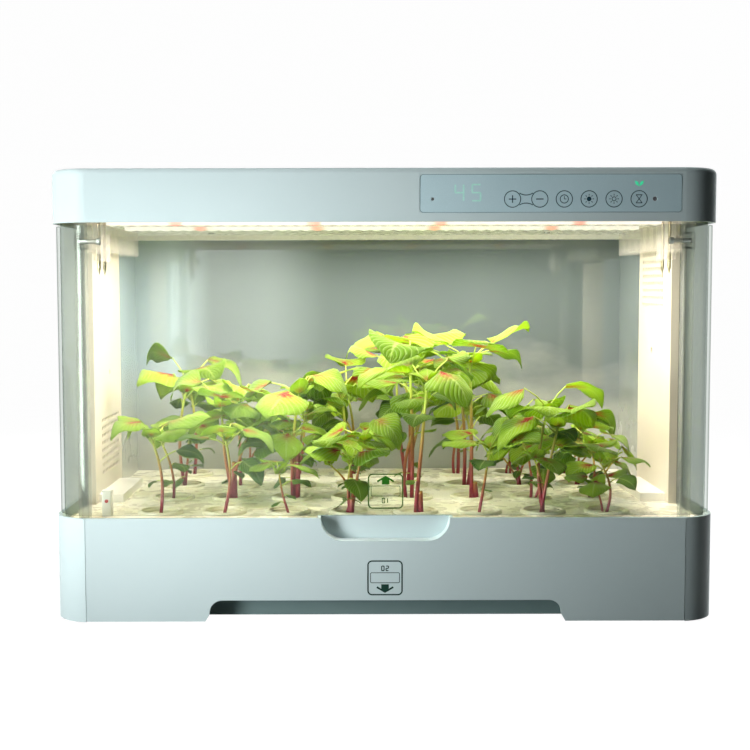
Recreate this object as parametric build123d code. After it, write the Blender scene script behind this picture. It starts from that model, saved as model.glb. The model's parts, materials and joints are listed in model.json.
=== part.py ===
from build123d import *
import os

# Overall box: X across the front, Y to the back, Z up, origin at the bottom centre
body_width = 580.0
body_depth = 372.0
corner_radius = 34.0
foot_height = 2.0
base_height = 91.0
chamber_height = 255.0
hood_height = 46.0

# Moulded walls and clearances
base_wall = 3.0
hood_wall = 3.0
shell_wall = 2.5
hood_edge_round = 5.0
slide_gap = 0.5
seat_gap = 0.3
screw_gap = 0.1
pin_gap = 0.05

# Drawer front
front_side_margin = 30.0
front_thickness = 4.0
front_bottom_gap = 0.5
scoop_width = 112.0
scoop_height = 20.0
scoop_depth = 14.0
scoop_round = 19.5
pocket_wall = 3.0
notch_width = 306.0
notch_height = 19.0
notch_round = 11.0
notch_flare = 4.0
notch_flare_height = 6.5
notch_flare_round = 4.0
web_inset = 43.0
web_thickness = 6.0
web_top_gap = 10.0
web_rise = 7.5
drawer_screw_radius = 1.6
drawer_screw_head = 4.0

# Tank, board and cups
tank_side_gap = 4.0
tank_rear_margin = 40.0
tank_wall = 2.5
tank_round = 15.0
tank_bottom = 22.5
tank_front_inset = 26.0
board_thickness = 4.0
board_overhang = 2.5
cup_columns = 8
cup_rows = 4
cup_side_margin = 11.0
cup_rear_margin = 42.0
cup_front_margin = 30.0
cup_radius = 16.7
cup_wall = 1.6
cup_depth = 40.0
cup_rim_radius = 20.5
cup_rim_height = 3.0
cup_dish_depth = 1.8
cup_slot_width = 4.0
cup_slots = 6
plug_sink = 0.4

# Base floor, kick plate, runners and deck
floor_front_inset = 28.0
kick_plate_thickness = 3.0
kick_plate_end_gap = 10.0
runner_inset = 18.0
runner_width = 20.0
runner_end_gap = 7.5
deck_drop = 9.0
deck_thickness = 2.0
deck_side_margin = 43.0
deck_rear_margin = 34.0
deck_skirt = 3.0
foot_radius = 9.0
foot_inset_x = 40.0
foot_inset_y = 36.0

# Chamber walls
lamp_rise = 4.0
panel_inset = 14.0
panel_front_inset = 122.0
panel_width = 132.0
panel_wall = 2.0
panel_shell_gap = 1.0
vent_columns = 12
vent_rows = 8
vent_pitch = 7.3
vent_hole = 2.2
vent_drop = 52.0
vent_setback = 75.0
sight_hole = 3.0
sight_hole_drop = 42.0
liner_thickness = 1.5
back_panel_inset = 22.0
back_panel_thickness = 3.0
back_panel_side_gap = 8.0
window_thickness = 3.0
window_post_gap = 3.0
post_panel_gap = 14.0
post_width = 9.0
post_depth = 12.0
post_front_inset = 26.0
post_wall = 1.8
block_width = 24.0
block_height = 8.0
block_length = 108.0
level_post_size = 9.0
level_post_height = 24.0
level_post_inset_x = 6.0
level_post_inset_y = 63.0
level_lamp_radius = 1.6

# Door, hinge and guide rails
door_inset = 2.5
door_thickness = 3.0
door_bottom_gap = 2.0
door_top_gap = 2.5
pivot_behind_pane = 4.5
pivot_below_top = 13.5
barrel_radius = 7.0
barrel_post_overlap = 6.0
barrel_length = 11.0
hinge_pin_radius = 2.0
eye_radius = 4.2
barrel_bracket_gap = 1.0
bracket_thickness = 7.0
bracket_front_inset = 28.0
bracket_length = 40.0
bracket_height = 36.0
neck_height = 9.0
bracket_screw_radius = 1.5
bracket_screw_head = 3.2
bracket_screw_tip = 6.0
bracket_screw_run = 6.0
bracket_screw_inset = 8.0
rail_end_gap = 5.5
rail_height = 25.0
rail_width = 12.0
rail_wall = 3.0
rail_ribs = 9

# Lamps
lamp_panel_thickness = 2.0
lamp_panel_rear_inset = 74.0
soffit_gap = 1.5
soffit_lip_depth = 14.0
soffit_lip_drop = 5.0
led_board_bracket_gap = 1.0
led_board_depth = 14.0
led_board_thickness = 1.2
led_front_inset = 46.0
led_row_spacing = 87.0
led_count = 44
led_end_margin = 6.2
led_radius = 3.4
led_height = 4.0
red_leds_front = (5, 16, 26, 37)
red_leds_rear = (6, 16, 26, 36)
hood_screw_inset_x = 110.0
hood_screw_inset_front = 86.0
hood_screw_inset_rear = 27.0
boss_radius = 5.0

# Controls and supply
film_end_margin = 37.5
film_width = 223.0
film_rise = 7.5
film_height = 32.5
film_thickness = 0.4
film_recess = 0.5
film_round = 3.0
control_rise = 11.5
reset_inset = 11.0
sensor_inset = 23.0
reset_radius = 1.2
reset_flange = 2.6
reset_travel = 0.5
sensor_radius = 1.8
control_board_gap = 7.0
control_board_thickness = 1.6
display_inset = 46.5
display_width = 42.0
display_height = 22.0
supply_size = (120.0, 46.0, 28.0)
supply_x = 0.0
supply_rear_inset = 40.0
supply_round = 3.0
inlet_inset = 85.0
inlet_rise = 19.0
inlet_radius = 6.0
inlet_bore = 3.2
inlet_pin = 1.0
inlet_length = 14.0

# Fans and pump
fan_size = 58.0
fan_thickness = 7.5
fan_bore = 27.0
fan_hub = 9.0
fan_tip = 25.5
fan_blades = 7
fan_blade_width = 6.0
fan_blade_thickness = 1.2
fan_blade_angle = 35.0
fan_pin = 1.5
fan_strut = 3.0
slot_length = 50.0
slot_height = 3.0
slot_pitch = 6.0
slot_count = 8
pump_size = 22.0
pump_body_length = 28.0
pump_cover_length = 12.0
pump_cover_wall = 1.5
pump_chamber = 8.0
impeller_radius = 6.8
impeller_vanes = 6
impeller_shaft = 1.5
impeller_shaft_length = 14.0
pump_inlet = 3.0

# Heights and faces worked out from the sizes above
half_width = body_width / 2
front = -body_depth / 2
back = body_depth / 2
base_bottom = foot_height
base_top = base_bottom + base_height
hood_bottom = base_top + chamber_height
hood_top = hood_bottom + hood_height
lamp_plane = hood_bottom + lamp_rise
floor_top = base_bottom + base_wall
deck_top = base_top - deck_drop
board_top = deck_top + board_thickness

# Drawer places
front_width = body_width - 2 * front_side_margin
deck_opening = body_width - 2 * deck_side_margin
tank_width = deck_opening - 2 * tank_side_gap
tank_front = front + tank_front_inset
tank_rear = back - tank_rear_margin
tank_depth = tank_rear - tank_front
tank_top = board_top - board_thickness
web_offset = tank_width / 2 - web_inset
web_bottom = tank_bottom + web_rise
web_height = tank_top - web_top_gap - web_bottom
cup_pitch_x = (tank_width - 2 * cup_side_margin) / cup_columns
cup_first_row = tank_front + cup_front_margin
cup_pitch_y = (tank_depth - cup_front_margin - cup_rear_margin) / (cup_rows - 1)
pump_y = cup_first_row + (cup_rows - 1.5) * cup_pitch_y
kick_plate_width = front_width - 2 * kick_plate_end_gap
runner_offset = tank_width / 2 - runner_inset
foot_offset_x = half_width - foot_inset_x
foot_offset_y = back - foot_inset_y

# Chamber places
panel_inner = half_width - panel_inset
panel_outer = half_width - shell_wall - panel_shell_gap
panel_front = front + panel_front_inset
panel_middle = panel_front + panel_width / 2
vent_middle = panel_front + vent_setback
fan_z = {"right": lamp_plane - vent_drop, "left": deck_top + vent_drop}
fan_front = panel_inner + panel_wall
back_panel_face = back - back_panel_inset
back_panel_width = body_width - 2 * back_panel_side_gap
post_inner = panel_inner - post_panel_gap
post_front = front + post_front_inset
window_front = post_front + post_depth + window_post_gap
level_post_x = -deck_opening / 2 - level_post_inset_x
level_post_y = front + level_post_inset_y

# Door and hinge places
pane_front = front + door_inset
pane_back = pane_front + door_thickness
door_bottom = base_top + door_bottom_gap
door_top = hood_bottom - door_top_gap
pivot_y = pane_back + pivot_behind_pane
pivot_z = door_top - pivot_below_top
barrel_start = post_inner - barrel_post_overlap
bracket_start = barrel_start - barrel_bracket_gap - bracket_thickness
bracket_front = front + bracket_front_inset
bracket_rear = bracket_front + bracket_length
bracket_bottom = lamp_plane - bracket_height
bracket_screw_y = (bracket_front + bracket_screw_inset, bracket_rear - bracket_screw_inset)

# Hood places
lamp_panel_rear = back - lamp_panel_rear_inset
rail_length = lamp_panel_rear - rail_end_gap - bracket_rear - slide_gap
led_board_width = 2 * (bracket_start - led_board_bracket_gap)
led_pitch = (led_board_width - 2 * led_end_margin) / (led_count - 1)
led_rows_y = (front + led_front_inset, front + led_front_inset + led_row_spacing)
hood_screw_x = half_width - hood_screw_inset_x
hood_screw_y = (front + hood_screw_inset_front, lamp_panel_rear - hood_screw_inset_rear)
film_right = half_width - film_end_margin
film_left = film_right - film_width
film_bottom = hood_bottom + film_rise
film_top = film_bottom + film_height
control_height = film_bottom + control_rise
reset_x = film_left + reset_inset
sensor_x = film_right - sensor_inset
display_x = film_left + display_inset
supply_y = back - supply_rear_inset
inlet_x = half_width - inlet_inset
inlet_height = hood_bottom + inlet_rise


def block(x, y, z):
    """A box between two limits on each axis."""
    size = Box(x[1] - x[0], y[1] - y[0], z[1] - z[0])
    return Pos((x[0] + x[1]) / 2, (y[0] + y[1]) / 2, (z[0] + z[1]) / 2) * size


def rounded_slab(inset, z):
    """The plan outline of the cabinet, drawn in by inset, between two heights."""
    outline = RectangleRounded(body_width - 2 * inset, body_depth - 2 * inset, corner_radius - inset)
    return Pos(0, 0, z[0]) * extrude(outline, z[1] - z[0])


def rod(radius, start, end, axis):
    """A round rod between two points that share two coordinates; axis names the third."""
    length = end - start
    upright = Cylinder(radius, length, align=(Align.CENTER, Align.CENTER, Align.MIN))
    turn = {"x": Rot(0, 90, 0), "y": Rot(-90, 0, 0), "z": Rot(0, 0, 0)}[axis]
    shift = {"x": Pos(start, 0, 0), "y": Pos(0, start, 0), "z": Pos(0, 0, start)}[axis]
    return shift * turn * upright


def other_side(shape):
    """The mirror image on the left of the cabinet."""
    return mirror(shape, about=Plane.YZ)


def group(solids):
    """Separate solids kept together in one node."""
    return Compound(children=[Solid(s.solid().wrapped) for s in solids])


def row_places(row):
    """Cup centres of one row."""
    first = -(cup_columns - 1) / 2 * cup_pitch_x
    return [(first + i * cup_pitch_x, cup_first_row + row * cup_pitch_y) for i in range(cup_columns)]


def base_tub():
    tub = rounded_slab(0, (base_bottom, base_top))
    tub -= rounded_slab(base_wall, (floor_top, base_top + 1))
    mouth = front_width / 2 + slide_gap
    tub -= block((-mouth, mouth), (front - 1, front + floor_front_inset), (0, base_top + 1))
    return tub


def kick_plate():
    rear = front + floor_front_inset
    half = kick_plate_width / 2
    return block((-half, half), (rear - kick_plate_thickness, rear), (base_bottom, tank_bottom - slide_gap))


def rubber_feet():
    places = [(x, y) for x in (-foot_offset_x, foot_offset_x) for y in (-foot_offset_y, foot_offset_y)]
    return group([Pos(x, y, 0) * rod(foot_radius, 0, foot_height, "z") for x, y in places])


def runners():
    start = front + floor_front_inset + slide_gap
    strip = block(
        (runner_offset - runner_width / 2, runner_offset + runner_width / 2),
        (start, tank_rear - runner_end_gap),
        (floor_top, tank_bottom),
    )
    return group([strip, other_side(strip)])


def deck_frame():
    inset = base_wall + seat_gap
    half = deck_opening / 2
    rear = back - deck_rear_margin
    plate = rounded_slab(inset, (deck_top - deck_thickness, deck_top))
    plate -= block((-half, half), (front, rear), (0, deck_top + 1))
    start = front + floor_front_inset
    plate -= block((-half - deck_skirt, half + deck_skirt), (front, start), (0, deck_top + 1))
    panel_rear = front + front_thickness + slide_gap
    side = front_width / 2 + slide_gap
    plate -= block((-side, side), (front, panel_rear), (0, hood_top))
    skirt = block((half, half + deck_skirt), (start, rear + deck_skirt), (floor_top, deck_top))
    rear_skirt = block((-half, half), (rear, rear + deck_skirt), (floor_top, deck_top))
    return plate + skirt + other_side(skirt) + rear_skirt


def rear_shell():
    shell = rounded_slab(0, (base_top, hood_bottom))
    shell -= rounded_slab(shell_wall, (base_top - 1, hood_bottom + 1))
    shell -= block((-half_width - 1, half_width + 1), (front - 1, panel_front), (0, hood_top))
    for side, sign in (("right", 1), ("left", -1)):
        for i in range(slot_count):
            z = fan_z[side] + (i - (slot_count - 1) / 2) * slot_pitch
            slot = Box(4 * shell_wall, slot_length, slot_height)
            shell -= Pos(sign * half_width, vent_middle, z) * slot
    return shell


def back_panel():
    half = back_panel_width / 2
    y = (back_panel_face, back_panel_face + back_panel_thickness)
    return block((-half, half), y, (deck_top, lamp_plane))


def side_liner():
    start = panel_front + panel_width
    x = (panel_inner, panel_inner + liner_thickness)
    return block(x, (start, back_panel_face), (deck_top, lamp_plane))


def air_panel():
    y = (panel_front, panel_front + panel_width)
    panel = block((panel_inner, panel_outer), y, (deck_top, lamp_plane))
    inner = (y[0] + panel_wall, y[1] - panel_wall)
    heights = (deck_top + panel_wall, lamp_plane - panel_wall)
    panel -= block((panel_inner + panel_wall, panel_outer + 1), inner, heights)
    holes = [
        Pos(0, vent_middle + column * vent_pitch, fan_z["right"] + row * vent_pitch)
        * rod(vent_hole, panel_inner - 1, panel_inner + panel_wall + 1, "x")
        for column in [i - (vent_columns - 1) / 2 for i in range(vent_columns)]
        for row in [i - (vent_rows - 1) / 2 for i in range(vent_rows)]
    ]
    sight = rod(sight_hole, panel_inner - 1, panel_inner + panel_wall + 1, "x")
    sight_z = fan_z["right"] - vent_rows * vent_pitch / 2 - sight_hole_drop
    return panel - holes - Pos(0, vent_middle, sight_z) * sight


def turned_air_panel():
    """The same panel on the left, turned so that its vent is at the bottom."""
    middle = (deck_top + lamp_plane) / 2
    flipped = mirror(Pos(0, 0, -middle) * air_panel(), about=Plane.XY)
    return other_side(Pos(0, 0, middle) * flipped)


def foot_block():
    y = (panel_middle - block_length / 2, panel_middle + block_length / 2)
    return block((panel_inner - block_width, panel_inner), y, (deck_top, deck_top + block_height))


def level_post():
    half = level_post_size / 2
    post = block(
        (level_post_x - half, level_post_x + half),
        (level_post_y - half, level_post_y + half),
        (deck_top, deck_top + level_post_height),
    )
    return fillet(post.edges().filter_by(Axis.Z), half / 3)


def level_lamp():
    y = level_post_y - level_post_size / 2
    lamp = rod(level_lamp_radius, y - level_lamp_radius / 2, y, "y")
    return Pos(level_post_x, 0, deck_top + level_post_height * 0.6) * lamp


def corner_post():
    post = block(
        (post_inner, post_inner + post_width),
        (post_front, post_front + post_depth),
        (deck_top, lamp_plane),
    )
    hollow = block(
        (post_inner + post_wall, post_inner + post_width - post_wall),
        (post_front + post_wall, post_front + post_depth - post_wall),
        (deck_top - 1, lamp_plane + 1),
    )
    return post - hollow


def side_window():
    y = (window_front, panel_front - seat_gap)
    return block((panel_outer - window_thickness, panel_outer), y, (deck_top, lamp_plane))


def door_pane():
    z = (door_bottom, door_top)
    pane = rounded_slab(door_inset, z) - rounded_slab(door_inset + door_thickness, (z[0] - 1, z[1] + 1))
    wing_end = front + corner_radius
    pane -= block((-half_width, half_width), (wing_end, back + 1), (0, hood_top))
    barrel = Pos(0, pivot_y, pivot_z) * rod(barrel_radius, barrel_start, barrel_start + barrel_length, "x")
    barrel &= rounded_slab(door_inset, (0, hood_top))
    bore = Pos(0, pivot_y, pivot_z) * rod(hinge_pin_radius + pin_gap, 0, half_width, "x")
    bore &= block((barrel_start - 1, barrel_start + barrel_length - barrel_radius / 2), (front, back), z)
    pane += barrel
    pane += other_side(barrel)
    return pane - bore - other_side(bore)


def hinge_bracket():
    x = (bracket_start, bracket_start + bracket_thickness)
    plate = block(x, (bracket_front, bracket_rear), (bracket_bottom, lamp_plane))
    neck = block(x, (pivot_y - eye_radius / 2, bracket_front), (pivot_z - neck_height - 1, pivot_z - 1))
    eye = Pos(0, pivot_y, pivot_z) * rod(eye_radius, x[0], x[1], "x")
    bracket = plate + neck + eye
    bracket -= Pos(0, pivot_y, pivot_z) * rod(hinge_pin_radius + pin_gap, x[0] - 1, x[1] + 1, "x")
    middle = (x[0] + x[1]) / 2
    for y in bracket_screw_y:
        hole = rod(bracket_screw_radius + screw_gap, bracket_bottom - 1, lamp_plane + 1, "z")
        bracket -= Pos(middle, y, 0) * hole
    return bracket


def hinge_pins():
    start = bracket_start - hinge_pin_radius
    end = barrel_start + barrel_length - barrel_radius / 2 - slide_gap
    pin = rod(hinge_pin_radius, start, end, "x")
    head_end = start + hinge_pin_radius - screw_gap
    head = rod(hinge_pin_radius * 1.6, start - hinge_pin_radius / 2, head_end, "x")
    pin = Pos(0, pivot_y, pivot_z) * (pin + head)
    return group([pin, other_side(pin)])


def bracket_screw():
    top = lamp_plane + lamp_panel_thickness
    shank_end = bracket_bottom - bracket_screw_run
    shank = rod(bracket_screw_radius, shank_end, top, "z")
    tip = Cone(0.2, bracket_screw_radius, bracket_screw_tip, align=(Align.CENTER, Align.CENTER, Align.MAX))
    head = rod(bracket_screw_head, top, top + bracket_screw_radius, "z")
    return shank + Pos(0, 0, shank_end) * tip + head


def bracket_screws():
    x = bracket_start + bracket_thickness / 2
    return group([Pos(s * x, y, 0) * bracket_screw() for s in (-1, 1) for y in bracket_screw_y])


def guide_rail():
    x = post_inner
    y = (bracket_rear + slide_gap, bracket_rear + slide_gap + rail_length)
    z = (lamp_plane - rail_height, lamp_plane)
    rail = block((x, x + rail_wall), y, z)
    rail += block((x, x + rail_width), y, (z[0], z[0] + rail_wall))
    for i in range(rail_ribs):
        at = y[0] + rail_wall + i * (rail_length - 2 * rail_wall) / (rail_ribs - 1)
        rail += block((x, x + rail_width / 2), (at - 1, at + 1), z)
    return rail


def hood_shell():
    hood = rounded_slab(0, (hood_bottom, hood_top))
    hood = fillet(hood.faces().sort_by(Axis.Z)[-1].edges(), hood_edge_round)
    hood -= rounded_slab(hood_wall, (hood_bottom - 1, hood_top - hood_wall))
    for x in (-hood_screw_x, hood_screw_x):
        for y in hood_screw_y:
            boss = rod(boss_radius, lamp_plane + lamp_panel_thickness, hood_top - hood_wall / 2, "z")
            pilot = rod(bracket_screw_radius + screw_gap, lamp_plane, hood_top - hood_wall * 2, "z")
            hood += Pos(x, y, 0) * boss
            hood -= Pos(x, y, 0) * pilot
    hood -= film_outline(film_recess, seat_gap)
    for x, radius in ((reset_x, reset_radius), (sensor_x, sensor_radius)):
        hole = rod(radius + pin_gap, front - 1, front + 2 * hood_wall, "y")
        hood -= Pos(x, 0, control_height) * hole
    inlet_hole = rod(inlet_radius + pin_gap, back - 2 * hood_wall, back + 1, "y")
    return hood - Pos(inlet_x, 0, inlet_height) * inlet_hole


def film_outline(depth, margin):
    """A rounded rectangle on the hood's front, depth deep from the front face."""
    width = film_width + 2 * margin
    height = film_height + 2 * margin
    centre = Pos((film_left + film_right) / 2, front + depth, (film_bottom + film_top) / 2)
    return centre * Rot(90, 0, 0) * extrude(RectangleRounded(width, height, film_round), depth)


def control_film():
    film = film_outline(film_recess, 0) - film_outline(film_recess - film_thickness, 1)
    for x, radius in ((reset_x, reset_radius), (sensor_x, sensor_radius)):
        film -= Pos(x, 0, control_height) * rod(radius + seat_gap, front - 1, front + hood_wall, "y")
    return film


def reset_button():
    inner = front + hood_wall + reset_travel
    plunger = rod(reset_radius, front + film_recess, inner, "y")
    flange = rod(reset_flange, front + hood_wall, inner, "y")
    stem = rod(reset_radius, inner, front + hood_wall + control_board_gap - reset_travel, "y")
    return Pos(reset_x, 0, control_height) * (plunger + flange + stem)


def light_sensor():
    lens = rod(sensor_radius, front + film_recess, front + hood_wall, "y")
    body = rod(sensor_radius * 1.6, front + hood_wall, front + hood_wall + control_board_gap, "y")
    return Pos(sensor_x, 0, control_height) * (lens + body)


def control_board():
    y = front + hood_wall + control_board_gap
    width = (film_left + film_round, film_right - film_round)
    z = (lamp_plane + lamp_panel_thickness, film_top - film_round)
    return block(width, (y, y + control_board_thickness), z)


def display_module():
    middle = control_height + display_height / 4
    return block(
        (display_x - display_width / 2, display_x + display_width / 2),
        (front + hood_wall, front + hood_wall + control_board_gap),
        (middle - display_height / 2, middle + display_height / 2),
    )


def lamp_panel():
    z = (lamp_plane, lamp_plane + lamp_panel_thickness)
    panel = rounded_slab(hood_wall + seat_gap, z)
    panel -= block((-half_width, half_width), (lamp_panel_rear, back), (0, hood_top))
    for x in (-hood_screw_x, hood_screw_x):
        for y in hood_screw_y:
            panel -= Pos(x, y, 0) * rod(bracket_screw_radius + screw_gap, z[0] - 1, z[1] + 1, "z")
    for x in (-bracket_start - bracket_thickness / 2, bracket_start + bracket_thickness / 2):
        for y in bracket_screw_y:
            panel -= Pos(x, y, 0) * rod(bracket_screw_radius + screw_gap, z[0] - 1, z[1] + 1, "z")
    return panel


def rear_soffit():
    z = (lamp_plane, lamp_plane + lamp_panel_thickness)
    soffit = rounded_slab(hood_wall + seat_gap, z)
    soffit -= block((-half_width, half_width), (front, lamp_panel_rear + soffit_gap), (0, hood_top))
    half = panel_inner - slide_gap
    rear = back_panel_face - seat_gap
    lip_z = (lamp_plane - soffit_lip_drop, z[1])
    return soffit + block((-half, half), (rear - soffit_lip_depth, rear), lip_z)


def hood_screws():
    head = rod(bracket_screw_head, lamp_plane - bracket_screw_radius, lamp_plane, "z")
    shank = rod(bracket_screw_radius, lamp_plane, lamp_plane + hood_height / 2, "z")
    return group([Pos(x, y, 0) * (head + shank) for x in (-hood_screw_x, hood_screw_x) for y in hood_screw_y])


def led_board(y):
    half = led_board_width / 2
    return block(
        (-half, half),
        (y - led_board_depth / 2, y + led_board_depth / 2),
        (lamp_plane - led_board_thickness, lamp_plane),
    )


def led():
    top = lamp_plane - led_board_thickness
    lens = rod(led_radius, top - led_height, top, "z")
    return fillet(lens.edges().sort_by(Axis.Z)[0], led_radius / 2)


def leds(red):
    first = -(led_count - 1) / 2 * led_pitch
    lenses = []
    for y, reds in zip(led_rows_y, (red_leds_front, red_leds_rear)):
        chosen = [i for i in range(led_count) if (i in reds) == red]
        lenses += [Pos(first + i * led_pitch, y, 0) * led() for i in chosen]
    return group(lenses)


def power_supply():
    bottom = lamp_plane + lamp_panel_thickness
    length, depth, height = supply_size
    case = block(
        (supply_x - length / 2, supply_x + length / 2),
        (supply_y - depth / 2, supply_y + depth / 2),
        (bottom, bottom + height),
    )
    return fillet(case.edges().filter_by(Axis.Z), supply_round)


def power_inlet():
    socket = rod(inlet_radius, back - inlet_length, back, "y")
    socket += rod(inlet_radius * 1.4, back - inlet_length, back - hood_wall, "y")
    socket -= rod(inlet_bore, back - inlet_length + hood_wall, back + 1, "y")
    socket += rod(inlet_pin, back - inlet_length, back - hood_wall / 2, "y")
    return Pos(inlet_x, 0, inlet_height) * socket


def fan_frame():
    """Square fan frame on the right panel, its pin along X, centred on the origin's Y and Z."""
    x = (fan_front, fan_front + fan_thickness)
    half = fan_size / 2
    frame = block(x, (-half, half), (-half, half)) - rod(fan_bore, x[0] - 1, x[1] + 1, "x")
    back_wall = (x[1] - fan_pin, x[1])
    frame += block(back_wall, (-fan_bore - 1, fan_bore + 1), (-fan_strut / 2, fan_strut / 2))
    frame += block(back_wall, (-fan_strut / 2, fan_strut / 2), (-fan_bore - 1, fan_bore + 1))
    frame += rod(fan_hub, back_wall[0], back_wall[1], "x")
    return frame + rod(fan_pin, x[0] + 1, x[1], "x")


def fan_rotor():
    x = (fan_front + slide_gap, fan_front + fan_thickness - fan_pin - slide_gap)
    rotor = rod(fan_hub, x[0], x[1], "x")
    span = fan_tip - fan_hub + 1
    for i in range(fan_blades):
        blade = Box(fan_blade_width * 0.75, fan_blade_thickness, span)
        blade = Pos((x[0] + x[1]) / 2, 0, fan_hub - 1 + span / 2) * Rot(0, 0, fan_blade_angle) * blade
        rotor += Rot(i * 360 / fan_blades, 0, 0) * blade
    return rotor - rod(fan_pin + pin_gap, x[0] - 1, x[1] + 1, "x")


def drawer_front():
    half = front_width / 2
    z = (base_bottom + front_bottom_gap, base_top)
    panel = block((-half, half), (front, front + front_thickness), z)
    side = scoop_width / 2
    floor = base_top - scoop_height
    pocket_x = (-side - pocket_wall, side + pocket_wall)
    panel += block(pocket_x, (front, front + scoop_depth + pocket_wall), (floor - pocket_wall, base_top))
    shape = Polygon((-side, floor), (side, floor), (side, base_top + 1), (-side, base_top + 1), align=None)
    shape = fillet(shape.vertices().sort_by(Axis.Y)[:2], scoop_round)
    panel -= Pos(0, front + scoop_depth, 0) * Rot(90, 0, 0) * extrude(shape, scoop_depth + 1)
    panel -= bottom_notch()
    for x in (-web_offset, web_offset):
        web_x = (x - web_thickness / 2, x + web_thickness / 2)
        panel += block(web_x, (front + front_thickness, tank_front), (web_bottom, web_bottom + web_height))
        for z in (web_bottom + web_height / 4, web_bottom + web_height * 3 / 4):
            hole = rod(drawer_screw_radius + screw_gap, front + front_thickness * 2, back, "y")
            panel -= Pos(x, 0, z) * hole
    return panel


def bottom_notch():
    """The hand opening under the drawer front, rounded at the top and flared at the foot."""
    half = notch_width / 2
    top = base_bottom + notch_height
    neck = base_bottom + notch_flare_height
    right = [(half + notch_flare, base_bottom), (half, neck), (half, top)]
    left = [(-x, z) for x, z in reversed(right)]
    shape = Polygon(*right, *left, align=None)
    levels = shape.vertices().group_by(Axis.Y)
    shape = fillet(levels[-1], notch_round)
    shape = fillet(shape.vertices().filter_by_position(Axis.Y, neck - 0.1, neck + 0.1), notch_flare_round)
    return Pos(0, front + front_thickness + 1, 0) * Rot(90, 0, 0) * extrude(shape, front_thickness + 2)


def water_tank():
    middle = (tank_front + tank_rear) / 2
    outline = RectangleRounded(tank_width, tank_depth, tank_round)
    tank = Pos(0, middle, tank_bottom) * extrude(outline, tank_top - tank_bottom)
    inside = RectangleRounded(tank_width - 2 * tank_wall, tank_depth - 2 * tank_wall, tank_round - tank_wall)
    tank -= Pos(0, middle, tank_bottom + tank_wall) * extrude(inside, tank_top)
    for x in (-web_offset, web_offset):
        for z in (web_bottom + web_height / 4, web_bottom + web_height * 3 / 4):
            hole = rod(drawer_screw_radius + screw_gap, tank_front - 1, tank_front + tank_wall + 1, "y")
            tank -= Pos(x, 0, z) * hole
    return tank


def drawer_screws():
    seat = tank_front + tank_wall
    shank = rod(drawer_screw_radius, front + front_thickness * 3, seat, "y")
    head = rod(drawer_screw_head, seat, seat + drawer_screw_radius, "y")
    heights = (web_bottom + web_height / 4, web_bottom + web_height * 3 / 4)
    return group([Pos(x, 0, z) * (shank + head) for x in (-web_offset, web_offset) for z in heights])


def planting_board():
    width = tank_width + 2 * board_overhang
    depth = tank_depth + 2 * board_overhang
    middle = (tank_front + tank_rear) / 2
    outline = RectangleRounded(width, depth, tank_round)
    board = Pos(0, middle, tank_top) * extrude(outline, board_thickness)
    board = fillet(board.faces().sort_by(Axis.Z)[-1].edges(), 1)
    holes = []
    for row in range(cup_rows):
        for x, y in row_places(row):
            holes.append(Pos(x, y, 0) * rod(cup_radius + seat_gap, tank_top - 1, board_top + 1, "z"))
    return board - holes


def net_cup():
    """A basket with a dished rim, its rim seated on the board and slots round its wall."""
    bottom = board_top - cup_depth
    cup = rod(cup_radius, bottom, board_top, "z")
    cup += rod(cup_rim_radius, board_top, board_top + cup_rim_height, "z")
    rim_top = board_top + cup_rim_height
    cup = fillet(cup.edges().filter_by(GeomType.CIRCLE).sort_by(Axis.Z)[-1], cup_rim_height / 2)
    dish_radius = cup_rim_radius - cup_rim_height
    cup -= rod(dish_radius, rim_top - cup_dish_depth, rim_top + 1, "z")
    cup -= rod(cup_radius - cup_wall, bottom + cup_wall, rim_top + 1, "z")
    slot_z = (bottom + cup_depth / 5, board_top - cup_depth / 4)
    for i in range(cup_slots):
        slot = block((cup_radius / 2, cup_radius * 2), (-cup_slot_width / 2, cup_slot_width / 2), slot_z)
        cup -= Rot(0, 0, i * 360 / cup_slots) * slot
    return cup


def net_cups(row):
    cup = net_cup()
    return group([Pos(x, y, 0) * cup for x, y in row_places(row)])


def sponge_plugs():
    bottom = board_top - cup_depth + cup_wall
    plug = rod(cup_radius - cup_wall - seat_gap, bottom, board_top - plug_sink, "z")
    places = [place for row in range(cup_rows) for place in row_places(row)]
    return group([Pos(x, y, 0) * plug for x, y in places])


def pump_axis_z():
    return tank_bottom + tank_wall + pump_size / 2


def pump_body():
    half = pump_size / 2
    body = block((-pump_body_length, 0), (-half, half), (-half, half))
    body -= rod(impeller_shaft + pin_gap, -impeller_shaft_length - slide_gap, 1, "x")
    return Pos(0, pump_y, pump_axis_z()) * body


def pump_cover():
    half = pump_size / 2
    cover = block((0, pump_cover_length), (-half, half), (-half, half))
    cover -= rod(pump_chamber, -1, pump_cover_length - pump_cover_wall, "x")
    cover -= rod(pump_inlet, 0, pump_cover_length + 1, "x")
    return Pos(0, pump_y, pump_axis_z()) * cover


def pump_impeller():
    end = pump_cover_length - pump_cover_wall - slide_gap
    impeller = rod(impeller_shaft, -impeller_shaft_length, end, "x")
    impeller += rod(impeller_radius, slide_gap, 2 * impeller_shaft, "x")
    for i in range(impeller_vanes):
        vane = block((impeller_shaft, end), (-0.6, 0.6), (impeller_shaft / 2, impeller_radius))
        impeller += Rot(i * 360 / impeller_vanes, 0, 0) * vane
    return Pos(0, pump_y, pump_axis_z()) * impeller


def placed_fan(part, side):
    """A fan piece at its vent, on the right or turned over to the left."""
    at_vent = Pos(0, vent_middle, fan_z[side]) * part
    return at_vent if side == "right" else other_side(at_vent)


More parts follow.
